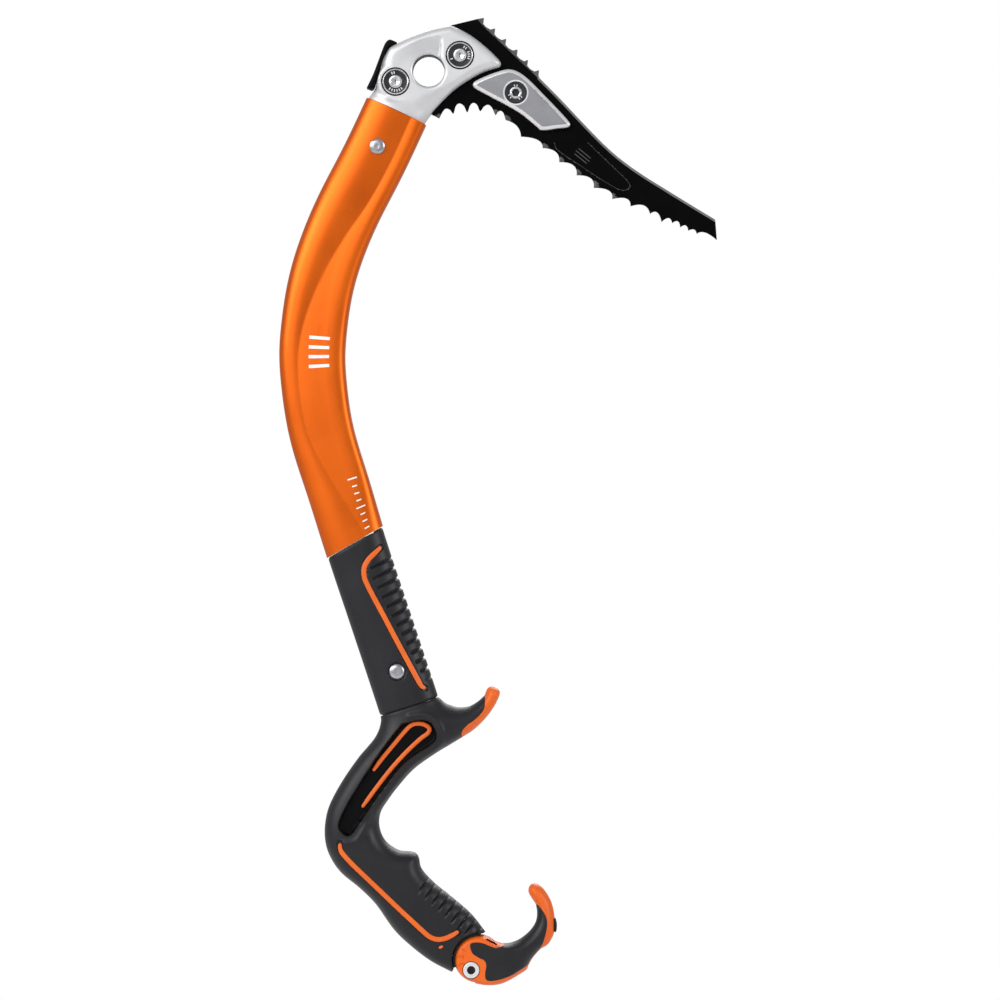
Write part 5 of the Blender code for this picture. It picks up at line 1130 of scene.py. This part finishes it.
lower_inlay = bent(leaned([(-55.6, -55.6), (-56.2, -60.0), (-53.3, -67.0), (-49.5, -74.3), (-44.6, -83.4),
                           (-38.1, -95.5), (-33.2, -104.4), (-29.0, -112.0), (-26.6, -115.9),
                           (-23.4, -118.4), (-19.5, -119.2), (-15.2, -118.8), (-11.6, -117.9)]), 0.4 * MM)
POCKET_FLOOR = 8.7 * MM


def finger_grooves():
    """Nine short lines from the front edge inwards, one every 4.6 mm."""
    root = evenly(leaned([(-17.6, -87.2), (0.0, -120.0)]), 4.6 * MM)
    aim = np.array([math.cos(LEAN + math.radians(24.0)), math.sin(LEAN + math.radians(24.0))])
    bow = np.array([-aim[1], aim[0]])
    t = np.linspace(0.0, 1.0, 14)[:, None]
    return [p + aim * (2.5 - 13.5 * t) * MM - bow * 2.2 * t ** 2 * MM for p in root]


groove_lines = finger_grooves()


def handle_depth(points):
    """Shell depth with pocket, lip, trench, grooves and seat rounding taken away or added."""
    depth = handle_shell(points)
    inner = within(points, pocket_loop)
    rim = gap_to(points, pocket_loop, True)
    fall = ease(rim, 0.0, 1.5 * MM) * inner
    swell = np.exp(-(gap_to(points, lip_line) / (1.4 * MM)) ** 2) * (1 - inner)
    depth = depth + 0.75 * MM * swell
    depth = depth - np.maximum(depth - POCKET_FLOOR, 0.0) * fall
    trench = 1.0 - ease(gap_to(points, lower_inlay), 1.30 * MM, 1.65 * MM)
    depth = depth - 1.0 * MM * trench
    valley = np.zeros(len(points))
    for line in groove_lines:
        fade = ease(off_centre(points, line[-1]), 0.0, 5.0 * MM)
        valley = np.maximum(valley, np.exp(-(gap_to(points, line) / (0.52 * MM)) ** 2) * fade)
    depth = depth - 1.2 * MM * valley
    end = gap_to(points, hollow_seat)
    depth = depth - 0.7 * MM * (1.0 - ease(end, 0.0, 0.8 * MM))
    seam = gap_to(points, top_seam)
    return np.maximum(depth - 0.35 * MM * (1.0 - ease(seam, 0.0, 0.6 * MM)), 0.0)


def skin_edge(points):
    """The skin's rounded meeting with the orange tip: a quarter millimetre fall."""
    return 0.28 * MM * (1.0 - ease(gap_to(points, split_edge), 0.0, 0.45 * MM))


def make_skin():
    """The whole handle but the tip, one dense sheet raised to two faces."""
    outline = loop_of(rear_edge, hollow_seat, front_edge, split_edge, trigger_top, top_seam)
    mouth = joined(pocket_loop)
    rows = [mouth, *[beside(mouth, d * MM) for d in (0.35, 0.75, 1.15, 1.5)],
            *[beside(lower_inlay, d * MM) for d in (-1.68, -1.48, -1.28, 1.28, 1.48, 1.68)],
            *[beside(line, d * MM) for line in groove_lines for d in (-0.6, 0.0, 0.6)]]
    flat, tris = fill(outline, 0.62 * MM * COARSE, (), rows)
    depth = handle_depth(flat) - skin_edge(flat)
    verts, faces = raise_faces(flat, tris, depth, depth)
    middle = face_spots(verts, faces)
    # Painted shade: the pocket's floor, away from its rim, takes the near-black material instead of the
    # rubber.
    floor = within(middle, pocket_loop) & (gap_to(middle, pocket_loop, True) > 0.55 * MM)
    return mesh_piece("handle_skin_moulding", verts, faces, [rubber, strip_black_and_pocket_shade], "axe",
                      "black_rubber", 60, floor.astype(int))


handle_skin = make_skin()
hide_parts("handle_skin")


def make_tip():
    """Orange end of the trigger rest, raised from the same depth."""
    outline = loop_of(tip_edge, beside(split_edge, -0.03 * MM)[::-1])
    flat, tris = fill(outline, 0.6 * MM * COARSE)
    depth = handle_shell(flat)
    return mesh_piece("trigger_tip", *raise_faces(flat, tris, depth, depth), [nylon], "axe",
                      "orange_nylon", 60)


trigger_tip = make_tip()
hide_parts("handle_core")


def make_plug():
    """Short squared tube inside sleeve and handle, so the seam between them is never open; its black is
    painted shade inside the seam.
    """
    run = np.linspace(-6 * MM, 4 * MM, 6)
    angle = np.arange(72) * 2 * math.pi / 72
    wide, deep = squared_ring(angle, GRIP_WIDE - 1.25 * MM, GRIP_DEEP - 1.25 * MM)
    spot = HANDLE_TOP * MM + run[:, None] * low_aim[None]
    side = np.array([math.cos(LEAN), math.sin(LEAN)])
    x = spot[:, 0:1] + wide[None] * side[0]
    z = spot[:, 1:2] + wide[None] * side[1]
    grid = np.stack([x, np.broadcast_to(deep, x.shape), z], axis=-1)
    return ring_piece("seam_plug", capped(grid), [hard_black_and_painted_shade], "axe", "black_rubber", 50)


make_plug()

# %% [markdown]
# ## Handle inlays and the index mark
# The lower inlay is let into the skin.  The upper one stands on the pocket's floor like a bent wire,
# with one short and one long arm.  A tiny triangle points at the pommel's dial.
# %% Strips of the handle
pocket_wire = bent(leaned([(-27.9, -25.7), (-22.0, -21.4), (-12.2, -15.2), (-5.6, -11.1), (-1.9, -9.4),
                           (1.2, -9.5), (4.6, -11.1), (6.6, -13.9), (5.0, -16.0), (0.2, -17.6),
                           (-9.1, -22.0), (-18.8, -27.6), (-28.8, -34.3), (-39.1, -41.8)]), 0.4 * MM)
for side, label in ((-1, "near"), (1, "far")):
    inlay = strip_along(f"lower_inlay_strip_{label}", lower_inlay, side, 2.6 * MM, handle_shell,
                        0.15 * MM, 1.6 * MM, [inlay_orange], "orange_nylon")
    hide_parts(f"lower_inlay_{label}")
    wire = strip_along(f"pocket_wire_{label}", pocket_wire, side, 2.2 * MM,
                       lambda p: np.full(len(p), POCKET_FLOOR + 1.3 * MM), 0.0, 1.8 * MM,
                       [inlay_orange], "orange_nylon", crowned=0.5)
    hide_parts(f"pocket_inlay_{label}")
    mark = strip_along(f"index_wedge_{label}", leaned([(-24.0, -122.9), (-21.6, -122.6)]), side,
                       2.0 * MM, handle_shell, -0.12 * MM, 0.8 * MM, [inlay_orange], "orange_nylon")
    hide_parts(f"index_mark_{label}")

# %% [markdown]
# ## The adjustable pommel
# An orange hook turns on a round hub at the handle's end, and a black pad wraps its finger side.  Both
# come from one depth function; the pad stands 0.14 mm proud and is rounded at its border, which draws
# the fine line between the two colours.
# %% Pommel outline and depth
finger_edge = bent(hinged([(12.0, 4.9), (15.0, 3.0), (18.9, 2.2), (24.0, 2.7), (29.5, 4.8), (33.3, 7.5),
                           (35.4, 10.2), (36.7, 13.6), (37.2, 16.9)]))
hook_edge = bent(hinged([(37.2, 16.9), (35.9, 21.6), (35.5, 24.6), (36.9, 27.2), (39.6, 27.8),
                         (42.2, 25.7), (43.9, 22.0), (45.0, 17.0), (45.0, 12.9), (44.4, 8.7), (43.4, 5.1),
                         (41.8, 0.8), (39.3, -2.3), (36.1, -4.6), (32.0, -5.6), (27.1, -8.5),
                         (24.0, -11.2), (22.2, -13.2), (18.4, -14.4), (13.1, -15.6), (8.0, -16.2),
                         (3.4, -15.6), (-1.0, -14.1), (-5.2, -11.9)]))


def hub_arc():
    """Round back of the pommel's disc, from the hook's end to the finger side."""
    start, stop = bearing(hook_edge[-1]) % (2 * math.pi), bearing(finger_edge[0])
    ring = hub_ring(DISC, start - 0.06, stop + 0.10, 70)
    return evenly(np.vstack([hook_edge[-1:], ring, finger_edge[:1]]), 0.5 * MM)


disc_edge = hub_arc()
CLAMP = upright([(22.0, -463.9)])[0]


def pommel_shell(points, finger=finger_edge):
    """Half depth 10 mm at the hub to 7.4 at the hook's tip; rounding grows along the hook."""
    reach = off_centre(points, HUB)
    full = 10.0 * MM - 2.6 * MM * ease(reach, 13 * MM, 46 * MM)
    radius = 2.6 * MM + 3.6 * MM * ease(reach, 12 * MM, 27 * MM)
    return full * crown(soft_gap(points, [finger, hook_edge, disc_edge]) / radius, 2.2)


DIGITS = {"1": [(-0.3, 1.35), (0.1, 1.8), (0.1, 0.0)],
          "2": [(-0.5, 1.4), (-0.2, 1.8), (0.3, 1.8), (0.5, 1.4), (0.35, 0.95), (-0.5, 0.0), (0.55, 0.0)],
          "3": [(-0.5, 1.75), (0.2, 1.8), (0.45, 1.4), (0.0, 1.0), (0.5, 0.5), (0.15, 0.0), (-0.5, 0.1)]}
DIAL_RADIUS, DIGIT_SIZE = 7.6, 1.35
rim_slit = evenly(hinged([(7.7, 8.2), (11.2, 4.3)]), 0.3 * MM)


def dial_strokes():
    """Setting numbers round the hub: each digit's strokes turned to stand on a circle of 7.6 mm."""
    strokes = []
    for digit, degrees in (("1", 128.0), ("2", 152.0), ("3", 178.0)):
        angle = math.radians(degrees)
        out = np.array([math.cos(angle), math.sin(angle)])
        along = np.array([out[1], -out[0]])
        pins = [DIAL_RADIUS * out + DIGIT_SIZE * (x * along + z * out) for x, z in DIGITS[digit]]
        strokes.append(evenly(hinged(pins), 0.25 * MM))
    return strokes


dial_lines = dial_strokes()


def make_hook():
    """Orange body with a seat for the clamp screw, engraved dial numbers and a slit in the rim whose faces
    are painted black as the shade inside it.
    """
    outline = loop_of(finger_edge, hook_edge, disc_edge)
    seat, wide = (joined(round_loop(CLAMP, radius * MM, 64)) for radius in (4.45, 4.6))
    cuts = [beside(line, d * MM) for line in dial_lines for d in (-0.30, -0.12, 0.12, 0.30)]
    cuts += [beside(rim_slit, d * MM) for d in (-0.55, -0.3, 0.0, 0.3, 0.55)]
    flat, tris = fill(outline, 0.55 * MM * COARSE, (), [seat, wide, *cuts])
    depth = pommel_shell(flat)
    for line in dial_lines:
        depth = depth - 0.35 * MM * (1.0 - ease(gap_to(flat, line), 0.10 * MM, 0.30 * MM))
    depth = depth - 3.0 * MM * (1.0 - ease(gap_to(flat, rim_slit), 0.25 * MM, 0.55 * MM))
    depth = np.where(off_centre(flat, CLAMP) < 4.5 * MM, 7.3 * MM, depth)
    verts, faces = raise_faces(flat, tris, depth, depth)
    middle = face_spots(verts, faces)
    # Painted shade: faces along the slit take the black material.
    dark = gap_to(middle, rim_slit) < 0.34 * MM
    return mesh_piece("pommel_hook", verts, faces, [nylon, hard_black_and_painted_shade], "pommel", "orange_nylon", 55,
                      dark.astype(int))


pommel_hook = make_hook()
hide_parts("pommel_core")
pad_side = bent(hinged([(-1.0, 9.7), (-2.1, 7.9), (-1.9, 3.9), (0.5, 0.7), (2.7, -1.5), (2.8, -4.0),
                        (1.2, -7.3), (0.4, -10.4), (1.7, -12.3), (6.4, -13.4), (13.7, -13.4),
                        (19.1, -12.2), (22.6, -11.4), (24.0, -11.0), (27.1, -8.3), (31.8, -5.5),
                        (34.4, -3.0), (36.2, -0.6), (38.2, 2.5), (40.0, 6.3), (40.5, 10.0), (39.7, 13.7),
                        (38.1, 17.4)]), 0.4 * MM)
pad_finger = beside(finger_edge[8:], 0.16 * MM)
pad_top = bent(hinged([(15.4, 2.7), (11.4, 3.0), (8.2, 5.2), (5.2, 7.7), (1.8, 9.3), (-1.0, 9.7)]),
               0.4 * MM)


def make_pad():
    """Black pad: the shell plus 0.14 mm, falling 0.40 mm at its drawn border."""
    corner = straight(pad_side[-1], pad_finger[-1], 0.4 * MM)
    close = straight(pad_finger[0], pad_top[0], 0.4 * MM)
    outline = loop_of(pad_side, corner, pad_finger[::-1], close, pad_top)
    flat, tris = fill(outline, 0.55 * MM * COARSE)
    border = np.minimum(gap_to(flat, pad_side), gap_to(flat, pad_top))
    depth = pommel_shell(flat, pad_finger) + 0.14 * MM
    depth = depth - 0.40 * MM * (1.0 - ease(border, 0.0, 0.5 * MM))
    return mesh_piece("pommel_pad_moulding", *raise_faces(flat, tris, depth, depth), [rubber], "pommel",
                      "black_rubber", 60)


pommel_pad = make_pad()
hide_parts("pommel_pad")


def make_seal():
    """Black ring sector on the hub that closes the view through the gap to the handle; its black is painted
    shade in that gap.
    """
    start, stop = bearing(hollow_seat[-2]) + 0.12, bearing(hollow_seat[1]) % (2 * math.pi) - 0.12
    outer, inner = (hub_ring(radius * MM, start, stop, 60) for radius in (13.44, 11.4))
    outline = loop_of(np.vstack([outer, inner[::-1], outer[:1]]))
    return rimmed("hub_seal", outline, -6.5 * MM, 6.5 * MM, 0.5 * MM, [hard_black_and_painted_shade], "black_plastic",
                  "pommel", 0.7 * MM)


make_seal()
insert_loop = loop_of(bent(hinged([(44.5, 7.4), (44.5, 5.2), (43.8, 2.8), (42.8, 0.8), (41.9, 0.8),
                                   (42.0, 3.0), (42.6, 5.6), (43.2, 7.5), (44.5, 7.4)])))
back_insert = rimmed("hook_back_insert", insert_loop, -3.8 * MM, 3.8 * MM, 1.0 * MM, [hard_black_and_painted_shade],
                     "black_plastic", "pommel", 0.6 * MM)
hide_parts("pommel_insert")
clamp_rows = [(0, 2.0, 0), (2.0, 2.0, 0), (2.0, 7.4, 0), (4.0, 7.4, 0), (4.2, 7.6, 0), (4.2, 9.75, 0),
              (4.05, 9.98, 0), (3.8, 10.05, 0), (2.9, 10.05, 0), (2.2, 10.02, 0), (2.05, 9.9, 1),
              (1.95, 8.0, 1), (0, 7.8, 0)]
# The socket's edge, wall and floor are painted dark as the shade inside the hex.
clamp_socket_shade_kinds = [0, 0, 0, 0, 0, 0, 0, 0, 0, 1, 1, 1]
clamp_screw = turned("clamp_socket_screw", CLAMP, -1, clamp_rows, [white_steel, dark_steel_and_painted_shade],
                     "bolt_steel", clamp_socket_shade_kinds, "pommel")
clamp_nut = turned("clamp_round_nut", CLAMP, 1, clamp_rows, [white_steel, dark_steel_and_painted_shade],
                   "bolt_steel", clamp_socket_shade_kinds, "pommel")
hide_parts("pommel_screw")
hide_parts("pommel_nut")

# %% [markdown]
# ## Light, floor and camera
# A tool like this is shown on white under large soft lights.  One wide light from the upper left draws
# the long highlights, a broad one in front fills the metal, a weaker one on the right lifts the front
# edges and one behind lights the far side.  The floor is a pale disc well below the axe.
# %% Stage
def soft_light(name, place, aim, size, power, colour=(1.0, 1.0, 1.0)):
    """Square area light at a place, turned to look at its aim."""
    data = bpy.data.lights.new(name, "AREA")
    data.shape, data.size, data.energy, data.color = "SQUARE", size, power, colour
    lamp = bpy.data.objects.new(name, data)
    lamp.location = place
    lamp.rotation_euler = (Vector(aim) - Vector(place)).to_track_quat("-Z", "Y").to_euler()
    lamp.visible_camera = False
    bpy.context.scene.collection.objects.link(lamp)
    return lamp


MIDDLE = (0.0, 0.0, -0.22)
soft_light("key", (-2.3, -1.5, 0.9), MIDDLE, 1.5, 48)
soft_light("front", (-1.3, -3.1, 1.1), MIDDLE, 1.6, 38)
soft_light("right", (2.5, -1.2, 0.5), MIDDLE, 1.2, 34)
soft_light("back", (0.4, 2.6, 1.4), MIDDLE, 2.0, 40)

world = bpy.data.worlds.new("studio")
bpy.context.scene.world = world
world.use_nodes = True
nodes, links = world.node_tree.nodes, world.node_tree.links
nodes.clear()
pale, dim = nodes.new("ShaderNodeBackground"), nodes.new("ShaderNodeBackground")
pale.inputs["Color"].default_value, pale.inputs["Strength"].default_value = (1, 1, 1, 1), 1.0
dim.inputs["Color"].default_value, dim.inputs["Strength"].default_value = (0.97, 0.98, 1.0, 1), 0.40
pick_ray, blend_ray = nodes.new("ShaderNodeLightPath"), nodes.new("ShaderNodeMixShader")
sky = nodes.new("ShaderNodeOutputWorld")
links.new(pick_ray.outputs["Is Camera Ray"], blend_ray.inputs["Fac"])
links.new(dim.outputs[0], blend_ray.inputs[1])
links.new(pale.outputs[0], blend_ray.inputs[2])
links.new(blend_ray.outputs[0], sky.inputs["Surface"])

floor_mat = finish("pale floor", (0.80, 0.80, 0.80), (0.84, 0.84, 0.84), 0.8, 0.0, grain=300, bump=0.02,
                   cloud=4)
FLOOR_RADIUS, FLOOR_LEVEL, FLOOR_SIDES = 1.15, -0.62, 96
disc_verts = np.column_stack([round_loop((0.0, 0.0), FLOOR_RADIUS, FLOOR_SIDES),
                              np.full(FLOOR_SIDES, FLOOR_LEVEL)])
floor_mesh = bpy.data.meshes.new("pale_floor")
floor_mesh.from_pydata(disc_verts.tolist(), [], [list(range(FLOOR_SIDES))])
floor_mesh.materials.append(floor_mat)
pale_floor = bpy.data.objects.new("pale_floor", floor_mesh)
bpy.context.scene.collection.objects.link(pale_floor)
pale_floor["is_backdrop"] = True

lens = bpy.data.cameras.new("view")
lens.sensor_width, lens.lens = 36.0, 173.9
eye = bpy.data.objects.new("view", lens)
eye.location, eye.rotation_euler = (0.03685, -2.5, -0.2215), (math.pi / 2, 0.0, 0.0)
bpy.context.scene.collection.objects.link(eye)
bpy.context.scene.camera = eye
bpy.context.scene.view_settings.view_transform = "Standard"

# %% [markdown]
# ## Sizes
# The finished axe is measured against the frame it was built on, and both boxes are printed.
# %% Measure and finish
low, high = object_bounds()
boxes = {"cad": [list(cad_low), list(cad_high)], "visual": [list(low), list(high)]}
for label, (a, b) in boxes.items():
    print(label, [f"{(q - p) / MM:.1f}" for p, q in zip(a, b)], "mm")
